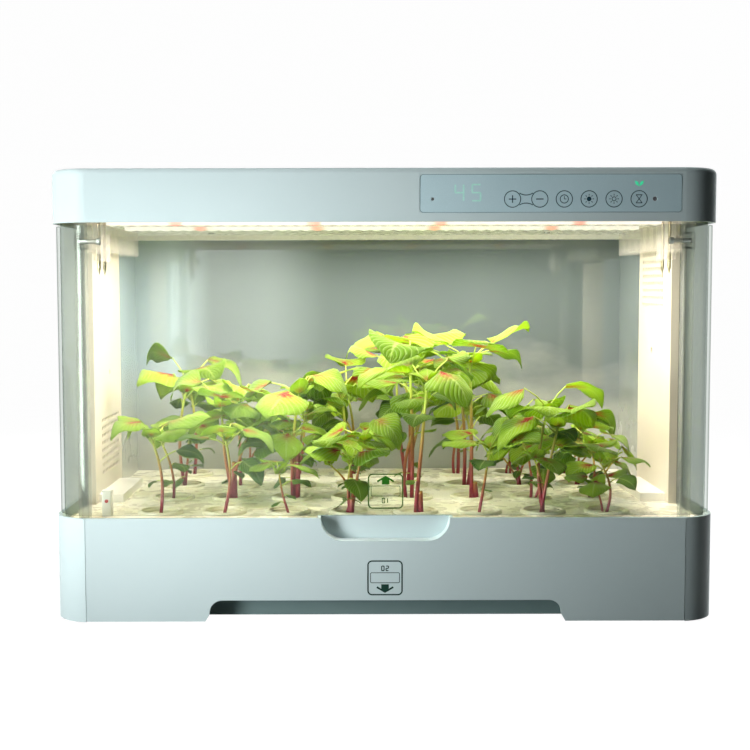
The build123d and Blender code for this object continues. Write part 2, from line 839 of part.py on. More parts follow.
os.makedirs("parts", exist_ok=True)
parts = {
    "base_tub": base_tub(),
    "kick_plate": kick_plate(),
    "rubber_feet": rubber_feet(),
    "runners": runners(),
    "deck_frame": deck_frame(),
    "rear_shell": rear_shell(),
    "back_panel": back_panel(),
    "left_liner": other_side(side_liner()),
    "right_liner": side_liner(),
    "left_air_panel": turned_air_panel(),
    "right_air_panel": air_panel(),
    "left_foot_block": other_side(foot_block()),
    "right_foot_block": foot_block(),
    "level_post": level_post(),
    "level_lamp": level_lamp(),
    "left_corner_post": other_side(corner_post()),
    "right_corner_post": corner_post(),
    "left_side_window": other_side(side_window()),
    "right_side_window": side_window(),
    "door_pane": door_pane(),
    "left_hinge_bracket": other_side(hinge_bracket()),
    "right_hinge_bracket": hinge_bracket(),
    "hinge_pins": hinge_pins(),
    "bracket_screws": bracket_screws(),
    "left_guide_rail": other_side(guide_rail()),
    "right_guide_rail": guide_rail(),
    "hood_shell": hood_shell(),
    "lamp_panel": lamp_panel(),
    "rear_soffit": rear_soffit(),
    "hood_screws": hood_screws(),
    "front_led_board": led_board(led_rows_y[0]),
    "rear_led_board": led_board(led_rows_y[1]),
    "white_leds": leds(False),
    "red_leds": leds(True),
    "control_film": control_film(),
    "reset_button": reset_button(),
    "light_sensor": light_sensor(),
    "control_board": control_board(),
    "display_module": display_module(),
    "power_supply": power_supply(),
    "power_inlet": power_inlet(),
    "exhaust_fan_frame": placed_fan(fan_frame(), "right"),
    "exhaust_fan_rotor": placed_fan(fan_rotor(), "right"),
    "intake_fan_frame": placed_fan(fan_frame(), "left"),
    "intake_fan_rotor": placed_fan(fan_rotor(), "left"),
    "drawer_front": drawer_front(),
    "water_tank": water_tank(),
    "drawer_screws": drawer_screws(),
    "planting_board": planting_board(),
    "net_cups_row_1": net_cups(0),
    "net_cups_row_2": net_cups(1),
    "net_cups_row_3": net_cups(2),
    "net_cups_row_4": net_cups(3),
    "sponge_plugs": sponge_plugs(),
    "pump_body": pump_body(),
    "pump_cover": pump_cover(),
    "pump_impeller": pump_impeller(),
}
for name, shape in parts.items():
    export_step(shape, f"parts/{name}.step")
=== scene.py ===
"""Looks of the hydroponic grow cabinet: finishes, printing, growing sponges, seedlings, studio and camera."""

import json
import logging
import math
import random
from dataclasses import dataclass, field
from enum import Enum

import bpy
from mathutils import Euler, Matrix, Vector


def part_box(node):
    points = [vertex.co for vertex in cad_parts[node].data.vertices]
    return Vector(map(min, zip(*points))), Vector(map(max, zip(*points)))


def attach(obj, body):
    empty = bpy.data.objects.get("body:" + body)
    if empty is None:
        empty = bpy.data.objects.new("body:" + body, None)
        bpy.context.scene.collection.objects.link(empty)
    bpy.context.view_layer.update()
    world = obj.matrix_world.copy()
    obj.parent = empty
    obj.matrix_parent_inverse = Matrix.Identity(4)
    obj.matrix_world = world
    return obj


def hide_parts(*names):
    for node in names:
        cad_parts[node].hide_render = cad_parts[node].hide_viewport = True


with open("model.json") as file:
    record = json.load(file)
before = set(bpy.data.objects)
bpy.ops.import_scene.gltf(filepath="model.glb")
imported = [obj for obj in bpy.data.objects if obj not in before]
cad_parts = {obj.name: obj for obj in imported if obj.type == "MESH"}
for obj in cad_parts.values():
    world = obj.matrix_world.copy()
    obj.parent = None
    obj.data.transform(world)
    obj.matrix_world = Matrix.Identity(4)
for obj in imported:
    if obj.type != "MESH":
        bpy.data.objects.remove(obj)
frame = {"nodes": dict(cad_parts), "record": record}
LOG = logging.getLogger("grow_cabinet")
MM = 0.001
GREYS = (0.35, 0.65)  # where the greys of a cloudy pattern mostly lie
WIDE_GREYS = (0.3, 0.7)
Socket = bpy.types.NodeSocket
Tree = bpy.types.NodeTree
Spot = tuple[float, float]
Triple = tuple[float, float, float]


class Body(Enum):
    """The cabinet's rigid bodies that pieces ride on."""

    CABINET = "cabinet"
    DOOR = "door"
    DRAWER = "drawer"


def linear(code: str) -> tuple[float, float, float, float]:
    """Turns an sRGB hex colour into linear red, green, blue and alpha.

    Args:
        code: Colour such as "#BCCDCF".

    Returns:
        The linear colour with alpha 1.
    """
    parts = [int(code[i : i + 2], 16) / 255 for i in (1, 3, 5)]
    red, green, blue = (c / 12.92 if c <= 0.04045 else ((c + 0.055) / 1.055) ** 2.4 for c in parts)
    return red, green, blue, 1.0


def put(tree: Tree, kind: str, inputs: dict | tuple = (), **settings: object) -> bpy.types.bpy_prop_collection:
    """Adds a shader node with its settings, and its inputs as values or links.

    Args:
        tree: Node tree that takes the node.
        kind: Blender's name of the node type, without its first word, ShaderNode.
        inputs: Values or feeding sockets, in the node's own order or by socket name or number.
        settings: Attribute names and values.

    Returns:
        The node's outputs.
    """
    node = tree.nodes.new("ShaderNode" + kind)
    for name, value in settings.items():
        setattr(node, name, value)
    for name, value in inputs.items() if isinstance(inputs, dict) else enumerate(inputs):
        if isinstance(value, Socket):
            tree.links.new(value, node.inputs[name])
        else:
            node.inputs[name].default_value = value
    return node.outputs


def clouds(tree: Tree, size_mm: float, detail: float = 2.0, stretch: Triple | None = None) -> Socket:
    """Lays a cloudy pattern of a real size in the object's own space.

    Args:
        tree: Node tree.
        size_mm: Width of one cloud in millimetres.
        detail: Layers of finer clouds.
        stretch: How many times longer the clouds are along each axis.

    Returns:
        The pattern's grey value.
    """
    place = put(tree, "TexCoord")["Object"]
    if stretch is not None:
        place = put(tree, "Mapping", {"Vector": place, "Scale": [1 / times for times in stretch]})[0]
    return put(tree, "TexNoise", {"Vector": place, "Scale": 1 / (size_mm * MM), "Detail": detail})[0]


@dataclass(frozen=True)
class Finish:
    """A surface finish that makes its Blender material once."""

    name: str

    def surface(self, tree: Tree) -> Socket:
        """Gives the shader; each kind of finish has its own."""
        raise NotImplementedError

    def material(self) -> bpy.types.Material:
        """Gives the material, made on first use.

        Returns:
            The material of this finish.
        """
        found = bpy.data.materials.get(self.name)
        if found is not None:
            return found
        made = bpy.data.materials.new(self.name)
        made.use_nodes = True
        made.node_tree.nodes.clear()
        put(made.node_tree, "OutputMaterial", {"Surface": self.surface(made.node_tree)})
        return made


@dataclass(frozen=True)
class MouldedPlastic(Finish):
    """Injection-moulded plastic: an even colour with faint flow clouds and a fine spark-eroded grain.

    The real grain is about 0.1 mm wide. It is drawn coarser, at grain_mm, so that it shows.
    """

    colour: str = "#FFFFFF"
    cloud_colour: str = "#F0F0F0"
    roughness: float = 0.4
    grain_mm: float = 0.9
    cloud_mm: float = 90.0
    relief: float = 0.06
    ior: float = 1.5
    shine: float = 0.5
    gloss_play: float = 0.05

    def surface(self, tree: Tree) -> Socket:
        """Moves the colour a little with the clouds, and breaks up the gloss with the grain.

        Args:
            tree: The material's node tree.

        Returns:
            The shader.
        """
        grain = clouds(tree, self.grain_mm)
        share = put(tree, "MapRange", (clouds(tree, self.cloud_mm, 4.0), *GREYS))[0]
        tones = {0: share, 6: linear(self.colour), 7: linear(self.cloud_colour)}
        gloss = (grain, *WIDE_GREYS, self.roughness - self.gloss_play, self.roughness + self.gloss_play)
        bump = {"Height": grain, "Strength": self.relief, "Distance": 0.1 * self.grain_mm * MM}
        inputs = {
            "Base Color": put(tree, "Mix", tones, data_type="RGBA")[2],
            "Roughness": put(tree, "MapRange", gloss)[0],
            "IOR": self.ior,
            "Specular IOR Level": self.shine,
            "Normal": put(tree, "Bump", bump)[0],
        }
        return put(tree, "BsdfPrincipled", inputs)[0]


@dataclass(frozen=True)
class WetBoardPlastic(Finish):
    """Polypropylene that has stood under wet plants: cream, with olive drying marks and damp gloss."""

    colour: str = "#FBF6E4"
    stain_colour: str = "#F0EAC6"
    stain_mm: float = 75.0
    stain_reach: tuple[float, float, float, float] = (0.42, 0.72, 0.0, 0.85)
    damp_mm: float = 16.0
    damp_gloss: Spot = (0.14, 0.5)
    ripple_mm: float = 22.0
    ripple_relief: float = 0.04
    streak: Triple = (3.0, 1.0, 1.0)

    def surface(self, tree: Tree) -> Socket:
        """Runs stains in streaks along the board, and makes damp patches shine more.

        Args:
            tree: The material's node tree.

        Returns:
            The shader.
        """
        stains = clouds(tree, self.stain_mm, 3.0, self.streak)
        share = put(tree, "MapRange", (stains, *self.stain_reach))[0]
        tones = {0: share, 6: linear(self.colour), 7: linear(self.stain_colour)}
        damp = clouds(tree, self.damp_mm, 3.0)
        ripple = clouds(tree, self.ripple_mm, 2.0, self.streak)
        bump = {"Height": ripple, "Strength": self.ripple_relief, "Distance": 0.5 * MM}
        inputs = {
            "Base Color": put(tree, "Mix", tones, data_type="RGBA")[2],
            "Roughness": put(tree, "MapRange", (damp, *GREYS, *self.damp_gloss))[0],
            "IOR": 1.49,
            "Normal": put(tree, "Bump", bump)[0],
            "Subsurface Weight": 0.08,
            "Subsurface Radius": (0.9, 0.8, 0.5),
            "Subsurface Scale": 2 * MM,
        }
        return put(tree, "BsdfPrincipled", inputs)[0]


@dataclass(frozen=True)
class ClearPlastic(Finish):
    """Clear glossy plastic: the eye sees through it, with a faint tint and bright edges where it turns away; where
    glow is set, its emission is a painted glow standing in for lamp light caught in it.
    """

    tint: str = "#F4F7F5"
    haze_and_painted_glow_colour: str = "#737C76"
    haze: float = 0.0
    # glow: emission of the skin, a painted glow that stands in for lamp light caught in the plastic
    glow: float = 0.0
    edge: str = "#98A49C"
    rim: float = 0.2
    mirror: float = 0.0
    ior: float = 1.5
    wipe_mm: float = 60.0
    facing_share: float = 0.04
    grazing_power: float = 5.0

    def surface(self, tree: Tree) -> Socket:
        """Lets light straight on, less the share that the surface sends back, which grows as it turns away.

        Args:
            tree: The material's node tree.

        Returns:
            The shader.
        """
        wipe = clouds(tree, self.wipe_mm, 3.0, (1.0, 1.0, 4.0))
        skin = {
            "Base Color": linear(self.haze_and_painted_glow_colour),
            "Metallic": self.mirror,
            "Roughness": put(tree, "MapRange", (wipe, *WIDE_GREYS, 0.02, 0.07))[0],
            "IOR": self.ior,
            # Painted glow: emission in the haze colour, standing in for lamp light caught in the plastic.
            "Emission Color": linear(self.haze_and_painted_glow_colour),
            "Emission Strength": self.glow,
        }
        turned = put(tree, "LayerWeight", {"Blend": 0.5})["Facing"]
        grazing = put(tree, "Math", (turned, self.grazing_power), operation="POWER")[0]
        depth = {0: grazing, 6: linear(self.tint), 7: linear(self.edge)}
        clear = put(tree, "BsdfTransparent", (put(tree, "Mix", depth, data_type="RGBA")[2],))[0]
        shares = (grazing, 0.0, 1.0, self.haze + self.facing_share, self.haze + self.rim)
        share = put(tree, "MapRange", shares)[0]
        return put(tree, "MixShader", (share, clear, put(tree, "BsdfPrincipled", skin)[0]))[0]


@dataclass(frozen=True)
class PolishedSheet(Finish):
    """Back-painted acrylic sheet: deep grey gloss, with painted light making it pale and duller low down and a
    painted reflection making it paler at the left.

    Heights and places are in metres of the cabinet's own frame.
    """

    colour: str = "#646D6C"
    shade_colour: str = "#5E6767"
    # Painted light: the pale colour low down stands in for light from the lamps and the lit board.
    painted_light_colour: str = "#AFB1A9"
    painted_light_full: float = 0.11
    painted_light_top: float = 0.225
    painted_light_drift: float = 0.03
    # Painted reflection: left of this edge the sheet is painted paler, standing in for the bright room mirrored in
    # it.
    painted_reflection_colour: str = "#9FB0B6"
    painted_reflection_edge: float = -0.19
    painted_reflection_blend: float = 0.045
    roughness: float = 0.03

    def surface(self, tree: Tree) -> Socket:
        """Shades the sheet broadly, paints it paler at the left as a painted reflection, and pale below a wavy
        line as painted light.

        Args:
            tree: The material's node tree.

        Returns:
            The shader.
        """
        shade = put(tree, "MapRange", (clouds(tree, 160.0, 2.0, (1.0, 1.0, 3.0)), *GREYS))[0]
        tones = {0: shade, 6: linear(self.colour), 7: linear(self.shade_colour)}
        sheet_tone = put(tree, "Mix", tones, data_type="RGBA")[2]
        place = put(tree, "SeparateXYZ", (put(tree, "TexCoord")["Object"],))
        # Painted light: below a wavy line the sheet is painted pale, standing in for light from the lamps and the
        # lit board.
        waves = clouds(tree, 45.0, 4.0, (2.0, 1.0, 1.0))
        drift = put(tree, "MapRange", (waves, *WIDE_GREYS, -self.painted_light_drift, self.painted_light_drift))[0]
        level = put(tree, "Math", (place[2], drift), operation="ADD")[0]
        painted_light = put(tree, "MapRange", (level, self.painted_light_full, self.painted_light_top, 1.0, 0.0))[0]
        # Painted reflection: share of the paler colour at the left edge.
        reach = (place[0], self.painted_reflection_edge - self.painted_reflection_blend, self.painted_reflection_edge, 1.0, 0.0)
        tones = {0: put(tree, "MapRange", reach)[0], 6: sheet_tone, 7: linear(self.painted_reflection_colour)}
        tones = {0: painted_light, 6: put(tree, "Mix", tones, data_type="RGBA")[2], 7: linear(self.painted_light_colour)}
        wipe = clouds(tree, 25.0, 4.0, (1.0, 1.0, 6.0))
        rough = put(tree, "MapRange", (wipe, *WIDE_GREYS, self.roughness, self.roughness + 0.03))[0]
        matt = put(tree, "MapRange", (painted_light, 0.0, 1.0, 0.0, 0.25))[0]
        inputs = {
            "Base Color": put(tree, "Mix", tones, data_type="RGBA")[2],
            "Roughness": put(tree, "Math", (rough, matt), operation="ADD")[0],
            "IOR": 1.49,
            "Coat Weight": 1.0,
            "Coat Roughness": 0.015,
        }
        return put(tree, "BsdfPrincipled", inputs)[0]


@dataclass(frozen=True)
class PrintedInk(Finish):
    """Screen-printed ink: matt, and slightly thin in places."""

    colour: str = "#2F4A52"
    thin_colour: str = "#45626B"
    patch_mm: float = 1.2

    def surface(self, tree: Tree) -> Socket:
        """Lays thin and full patches of ink.

        Args:
            tree: The material's node tree.

        Returns:
            The shader.
        """
        patch = clouds(tree, self.patch_mm)
        share = put(tree, "MapRange", (patch, 0.45, 0.75, 0.0, 0.6))[0]
        tones = {0: share, 6: linear(self.colour), 7: linear(self.thin_colour)}
        inputs = {
            "Base Color": put(tree, "Mix", tones, data_type="RGBA")[2],
            "Roughness": put(tree, "MapRange", (patch, 0.0, 1.0, 0.4, 0.6))[0],
            "Specular IOR Level": 0.1,
        }
        return put(tree, "BsdfPrincipled", inputs)[0]


@dataclass(frozen=True)
class GlowingLens(Finish):
    """Moulded lens or panel that glows: bright, and a little uneven from chip to chip. Lenses and figures have a
    lamp behind; on the boards and reflector beside the lamps the glow is painted light.
    """

    colour: str = "#FFF9E6"
    rim_colour: str = "#FFE9B8"
    strength: float = 1.3
    chip_mm: float = 6.0

    def surface(self, tree: Tree) -> Socket:
        """Sets an uneven glow under a glossy skin.

        Args:
            tree: The material's node tree.

        Returns:
            The shader.
        """
        chip = clouds(tree, self.chip_mm, 1.0)
        share = put(tree, "MapRange", (chip, *GREYS))[0]
        tones = {0: share, 6: linear(self.colour), 7: linear(self.rim_colour)}
        inputs = {
            "Base Color": linear(self.colour),
            "Roughness": put(tree, "MapRange", (chip, 0.0, 1.0, 0.2, 0.35))[0],
            "Emission Color": put(tree, "Mix", tones, data_type="RGBA")[2],
            "Emission Strength": self.strength,
        }
        return put(tree, "BsdfPrincipled", inputs)[0]


@dataclass(frozen=True)
class LitLensBar(Finish):
    """Cast silicone bar lit from inside: warm white, and red where a red chip sits."""

    colour: str = "#FFFAF2"
    gap_colour: str = "#F4EADF"
    red_colour: str = "#F79A88"
    body_colour: str = "#B9B2A6"
    strength: float = 0.95
    uneven_mm: float = 5.0

    def surface(self, tree: Tree) -> Socket:
        """Reads the red share from the mesh, over an uneven warm glow.

        Args:
            tree: The material's node tree.

        Returns:
            The shader.
        """
        red = put(tree, "Attribute", attribute_name="red")["Fac"]
        uneven = put(tree, "MapRange", (clouds(tree, self.uneven_mm), *GREYS))[0]
        tones = {0: uneven, 6: linear(self.colour), 7: linear(self.gap_colour)}
        tones = {0: red, 6: put(tree, "Mix", tones, data_type="RGBA")[2], 7: linear(self.red_colour)}
        inputs = {
            "Base Color": linear(self.body_colour),
            "Roughness": put(tree, "MapRange", (uneven, 0.0, 1.0, 0.25, 0.4))[0],
            "Emission Color": put(tree, "Mix", tones, data_type="RGBA")[2],
            "Emission Strength": self.strength,
        }
        return put(tree, "BsdfPrincipled", inputs)[0]


@dataclass(frozen=True)
class TurnedMetal(Finish):
    """Machined or plated metal: fine tool marks and dull patches.

    Real tool marks are about 0.05 mm wide. They are drawn at mark_mm so that they show.
    """

    colour: str = "#B9B9B6"
    roughness: float = 0.3
    mark_mm: float = 0.5

    def surface(self, tree: Tree) -> Socket:
        """Breaks the mirror with marks.

        Args:
            tree: The material's node tree.

        Returns:
            The shader.
        """
        marks = clouds(tree, self.mark_mm, 3.0)
        gloss = (marks, 0.0, 1.0, self.roughness - 0.08, self.roughness + 0.12)
        inputs = {
            "Base Color": linear(self.colour),
            "Metallic": 1.0,
            "Roughness": put(tree, "MapRange", gloss)[0],
            "Normal": put(tree, "Bump", {"Height": marks, "Strength": 0.2, "Distance": 0.05 * MM})[0],
        }
        return put(tree, "BsdfPrincipled", inputs)[0]


@dataclass(frozen=True)
class GrowingSponge(Finish):
    """Open-cell growing sponge: pale and porous, greened by algae."""

    colour: str = "#F2EDD6"
    algae_colour: str = "#DEDDB6"
    algae_mm: float = 9.0
    pore_mm: float = 1.4

    def surface(self, tree: Tree) -> Socket:
        """Pits the surface with pores, and colours patches of it with algae.

        Args:
            tree: The material's node tree.

        Returns:
            The shader.
        """
        place = put(tree, "TexCoord")["Object"]
        pores = put(tree, "TexVoronoi", {"Vector": place, "Scale": 1 / (self.pore_mm * MM)})[0]
        algae = put(tree, "MapRange", (clouds(tree, self.algae_mm, 3.0), 0.45, 0.7))[0]
        tones = {0: algae, 6: linear(self.colour), 7: linear(self.algae_colour)}
        inputs = {
            "Base Color": put(tree, "Mix", tones, data_type="RGBA")[2],
            "Roughness": put(tree, "MapRange", (pores, 0.0, 1.0, 0.75, 0.95))[0],
            "Normal": put(tree, "Bump", {"Height": pores, "Strength": 0.8, "Distance": 0.6 * MM})[0],
        }
        return put(tree, "BsdfPrincipled", inputs)[0]


@dataclass(frozen=True)
class LeafSkin(Finish):
    """Thin living leaf: lit through from above, pale veins, and a red blush where it joins its stalk."""

    young_colour: str = "#A9CB2C"
    lit_colour: str = "#D9F02E"
    old_colour: str = "#3F7424"
    mottle_colour: str = "#6E9C28"
    vein_colour: str = "#DDEB8E"
    blush_colour: str = "#B8321C"
    bloom_colour: str = "#F4F8E8"
    glow: float = 0.5
    bloom: float = 0.35
    veins: float = 9.0
    vein_slant: float = 0.45

    def surface(self, tree: Tree) -> Socket:
        """Reads each leaf's youth and blush from its mesh, and draws veins along and across it.

        Args:
            tree: The material's node tree.

        Returns:
            The shader.
        """
        chart = put(tree, "SeparateXYZ", (put(tree, "UVMap", uv_map="leaf")[0],))
        off_rib = put(tree, "Math", (chart[1],), operation="ABSOLUTE")[0]
        slant = put(tree, "Math", (off_rib, -self.vein_slant), operation="MULTIPLY")[0]
        path = put(tree, "Math", (chart[0], slant), operation="ADD")[0]
        phase = put(tree, "Math", (path, self.veins * math.tau), operation="MULTIPLY")[0]
        wave = put(tree, "Math", (phase,), operation="SINE")[0]
        side_vein = put(tree, "MapRange", (wave, 0.7, 1.0, 0.0, 0.7))[0]
        rib = put(tree, "MapRange", (off_rib, 0.02, 0.09, 1.0, 0.0))[0]
        vein = put(tree, "Math", (side_vein, rib), operation="MAXIMUM")[0]
        youth, blush = (put(tree, "Attribute", attribute_name=key)["Fac"] for key in ("youth", "blush"))
        tones = {0: youth, 6: linear(self.old_colour), 7: linear(self.young_colour)}
        blade = put(tree, "Mix", tones, data_type="RGBA")[2]
        mottle = put(tree, "MapRange", (clouds(tree, 14.0, 3.0), 0.4, 0.7, 0.0, 0.35))[0]
        tones = {0: mottle, 6: blade, 7: linear(self.mottle_colour)}
        blade = put(tree, "Mix", tones, data_type="RGBA")[2]
        vein_share = put(tree, "MapRange", (vein, 0.0, 1.0, 0.0, 0.55))[0]
        tones = {0: vein_share, 6: blade, 7: linear(self.vein_colour)}
        veined = put(tree, "Mix", tones, data_type="RGBA")[2]
        patch = put(tree, "MapRange", (clouds(tree, 5.0), 0.36, 0.52))[0]
        streak = put(tree, "Math", (patch, vein), operation="MAXIMUM")[0]
        red = put(tree, "Math", (blush, streak), operation="MULTIPLY")[0]
        bright = put(tree, "Math", (youth, 0.5), operation="MULTIPLY")[0]
        tones = {0: bright, 6: veined, 7: linear(self.lit_colour)}
        lit = put(tree, "Mix", tones, data_type="RGBA")[2]
        above, through = (
            put(tree, "Mix", {0: red, 6: green, 7: linear(self.blush_colour)}, data_type="RGBA")[2]
            for green in (veined, lit)
        )
        wrinkle = put(tree, "MapRange", (wave, -0.4, 1.0, 1.0, 0.0))[0]
        inputs = {
            "Base Color": above,
            "Roughness": put(tree, "MapRange", (vein, 0.0, 1.0, 0.38, 0.5))[0],
            "Normal": put(tree, "Bump", {"Height": wrinkle, "Strength": 0.6, "Distance": 1.2 * MM})[0],
            "Sheen Weight": self.bloom,
            "Sheen Roughness": 0.35,
            "Sheen Tint": linear(self.bloom_colour),
        }
        skin = put(tree, "BsdfPrincipled", inputs)[0]
        inner = put(tree, "BsdfTranslucent", (through,))[0]
        return put(tree, "MixShader", (self.glow, skin, inner))[0]


@dataclass(frozen=True)
class StemSkin(Finish):
    """Juicy seedling stem: crimson at its foot, going through orange to yellow-green, finely ribbed."""

    foot_colour: str = "#8E2B3C"
    middle_colour: str = "#A9743C"
    tip_colour: str = "#B7CB55"
    rib_mm: float = 0.8

    def surface(self, tree: Tree) -> Socket:
        """Reads the height along the stem from its mesh.

        Args:
            tree: The material's node tree.

        Returns:
            The shader.
        """
        height = put(tree, "Attribute", attribute_name="height")["Fac"]
        blotch = clouds(tree, 7.0, 3.0, (1.0, 1.0, 4.0))
        uneven = put(tree, "MapRange", (blotch, 0.0, 1.0, -0.14, 0.14))[0]
        level = put(tree, "Math", (height, uneven), operation="ADD")[0]
        low, high = (put(tree, "MapRange", (level, *span))[0] for span in ((0.12, 0.5), (0.45, 0.85)))
        tones = {0: low, 6: linear(self.foot_colour), 7: linear(self.middle_colour)}
        tones = {0: high, 6: put(tree, "Mix", tones, data_type="RGBA")[2], 7: linear(self.tip_colour)}
        ribs = clouds(tree, self.rib_mm, 1.0, (1.0, 1.0, 12.0))
        inputs = {
            "Base Color": put(tree, "Mix", tones, data_type="RGBA")[2],
            "Roughness": put(tree, "MapRange", (ribs, 0.0, 1.0, 0.32, 0.5))[0],
            "Subsurface Weight": 0.15,
            "Subsurface Radius": (1.0, 0.5, 0.3),
            "Subsurface Scale": 1 * MM,
            "Normal": put(tree, "Bump", {"Height": ribs, "Strength": 0.3, "Distance": 0.2 * MM})[0],
        }
        return put(tree, "BsdfPrincipled", inputs)[0]


@dataclass(frozen=True)
class WhiteSweep(Finish):
    """Matt white board that shows as white, with the cabinet's own soft shadow on it."""

    board_colour: str = "#626262"
    white: float = 0.985

    def surface(self, tree: Tree) -> Socket:
        """Adds a plain glow for the eye, mirrors and clear pieces to a matt board.

        Args:
            tree: The material's node tree.

        Returns:
            The shader.
        """
        path = put(tree, "LightPath")
        seen = path["Is Camera Ray"]
        for name in ("Is Glossy Ray", "Is Transmission Ray"):
            seen = put(tree, "Math", (seen, path[name]), operation="MAXIMUM")[0]
        share = put(tree, "Math", (seen, self.white), operation="MULTIPLY")[0]
        glow = put(tree, "Emission", {"Color": linear("#FFFFFF"), "Strength": share})[0]
        board = put(tree, "BsdfDiffuse", {"Color": linear(self.board_colour)})[0]
        return put(tree, "AddShader", (glow, board))[0]


# Moulded ABS, spark-eroded tool: satin blue-grey that takes soft, broad highlights.
HOUSING = MouldedPlastic(
    "moulded_abs_blue_grey", "#BDCECF", "#B8CACB", 0.42, grain_mm=0.8, cloud_mm=140.0, shine=0.16
)
# The same ABS in dark grey, set back behind the drawer's notch: dull, without highlights.
KICK = MouldedPlastic(
    "moulded_abs_dark_grey", "#677C7C", "#617676", 0.5, grain_mm=1.5, cloud_mm=60.0, relief=0.03, shine=0.1
)
# Pressed rubber: black, matt and finely pitted.
RUBBER = MouldedPlastic(
    "pressed_rubber_black", "#1D1D1D", "#242424", 0.8, grain_mm=0.6, cloud_mm=20.0, relief=0.3
)
# ABS of the small inner mouldings: warm white and satin.
WHITE = MouldedPlastic("moulded_abs_warm_white", "#F7F5EE", "#F3F0E7", 0.38, grain_mm=0.8, cloud_mm=80.0)
# ABS of the side panels: cream, so that it stays below white under the lamps.
PANEL = MouldedPlastic("moulded_abs_cream", "#D6CDBD", "#D1C7B4", 0.42, grain_mm=0.8, cloud_mm=80.0)
# Thin-walled polypropylene: waxy cream with uneven flow.
CUP = MouldedPlastic(
    "moulded_polypropylene_cream", "#F1EDD8", "#E3DFBE", 0.35, cloud_mm=18.0, relief=0.05, ior=1.49
)
# Thicker polypropylene: a duller cream.
TANK = MouldedPlastic(
    "moulded_polypropylene_tank", "#E9E6D6", "#E2DFCB", 0.4, grain_mm=1.0, cloud_mm=60.0, relief=0.05, ior=1.49
)
# Extruded acetal: slippery, plain white.
RUNNER = MouldedPlastic("extruded_acetal_white", "#E8E8E4", "#DEDED8", 0.45, grain_mm=0.7, cloud_mm=30.0)
# Glass-filled nylon: near black and slightly rough.
BLACK = MouldedPlastic("moulded_nylon_black", "#1B1C1E", "#232427", 0.5, grain_mm=0.7, cloud_mm=25.0)
# Solder mask on a circuit board: off-white, with the flow of the brushed-on coat.
CIRCUIT = MouldedPlastic("solder_mask_white", "#ECEBDD", "#E3E2D0", 0.4, grain_mm=0.4, cloud_mm=12.0)
# Polyester film printed from behind: smooth and cooler than the housing.
FILM = MouldedPlastic(
    "printed_polyester_film", "#B6D0D6", "#B1CCD2", 0.25, grain_mm=0.5, cloud_mm=60.0, relief=0.02
)
# Acrylic lamp cap: a deep, wet red.
RED_LENS = MouldedPlastic(
    "moulded_acrylic_red", "#C2202A", "#B01822", 0.2, grain_mm=0.6, cloud_mm=4.0, relief=0.02
)
# Polypropylene under the plants: cream, stained and damp.
BOARD = WetBoardPlastic("moulded_polypropylene_damp")
# Polystyrene pane, polished tool: almost unseen face on, mirror-bright where it turns round the corners.
CLEAR = ClearPlastic("polished_polystyrene_clear", "#F4F7F5", "#8A928C", mirror=1.0)
# Thick polycarbonate mouldings: milky, with a painted glow standing in for the lamp light that gathers in them.
CLEAR_THICK = ClearPlastic(
    "moulded_polycarbonate_clear", "#F8F7F4", "#FBF3E8", haze=0.05, glow=0.2, edge="#C9C5B6", rim=0.7
)
# Extruded polycarbonate posts: clear, with a pale rim and a faint painted glow standing in for lamp light caught
# in them.
POST = ClearPlastic(
    "extruded_polycarbonate_clear", "#EFF1EF", "#D2D3CC", haze=0.06, glow=0.1, edge="#DFE2DE", rim=0.7
)
# Extruded polystyrene windows: a grey cast; the left one is a lit copy, painted paler as painted light from the
# room.
WINDOW = ClearPlastic("extruded_polystyrene_grey", "#D6D9D7", "#A9AEAB", haze=0.03)
WINDOW_PAINTED_LIT = ClearPlastic("extruded_polystyrene_painted_lit", "#E6E9E6", "#C2C8C3", haze=0.05, edge="#B4BEB6")
# Acrylic sheet painted behind: the colour lies deep under a mirror of a face.
# The sheet and liners are painted pale low down as painted light, and paler at the left as a painted reflection;
# of the liners only the left one lies far enough left for the paler edge.
SHEET = PolishedSheet("back_painted_acrylic_grey")
LINER = PolishedSheet("back_painted_acrylic_pale", "#7D8683", "#767F7C")
# Turned steel: bright, with fine rings.
STEEL = TurnedMetal("turned_steel_bright")
# Zinc-plated, yellow-passivated steel: a dull straw gold.
ZINC = TurnedMetal("rolled_steel_yellow_zinc", "#B3A484", 0.35)
# Silicone lenses over lit chips: too bright to show a shape.
LED_WHITE = GlowingLens("silicone_lens_warm_white")
LED_RED = GlowingLens("silicone_lens_red", "#F7A090", "#F58672", 1.0)
LED_BAR = LitLensBar("cast_silicone_bar")
# Solder mask and ABS beside the lamps: warm, with a painted glow standing in for the light that spills from the
# lenses.
LED_BOARD = GlowingLens("solder_mask_white_painted_glow", "#EADFD0", "#E0D3BE", 0.25)
LAMP_PANEL = GlowingLens("moulded_abs_reflector_painted_glow", "#CBC6BA", "#C3BDAE", 0.32)
# Open-cell foam: a crumbly, pitted cream.
SPONGE = GrowingSponge("open_cell_sponge")
# Amaranth: thin blades that glow yellow-green against the lamps, on crimson stems.
LEAF = LeafSkin("amaranth_leaf")
STEM = StemSkin("amaranth_stem")
# Screen-printed inks: flat and matt.
KEY_INK = PrintedInk("screen_ink_slate", "#1A343D", "#2A464F")
EDGE_INK = PrintedInk("screen_ink_blue_grey", "#6D868D", "#7C949A")
DOOR_INK = PrintedInk("screen_ink_olive_green", "#3D5A28", "#4B6936")
DRAWER_INK = PrintedInk("screen_ink_dark_green", "#0E2A23", "#173A31")
ARROW_INK = PrintedInk("screen_ink_leaf_green", "#1D5512", "#28631B")
# Windows in the film with a lamp behind: pale mint figures and a green sign.
DIGIT_GLOW = GlowingLens("lit_digit_green", "#A0D2C7", "#96C8BD", 0.18)
LEAF_GLOW = GlowingLens("lit_leaf_sign_green", "#45CF9C", "#3DBF8E", 0.55)

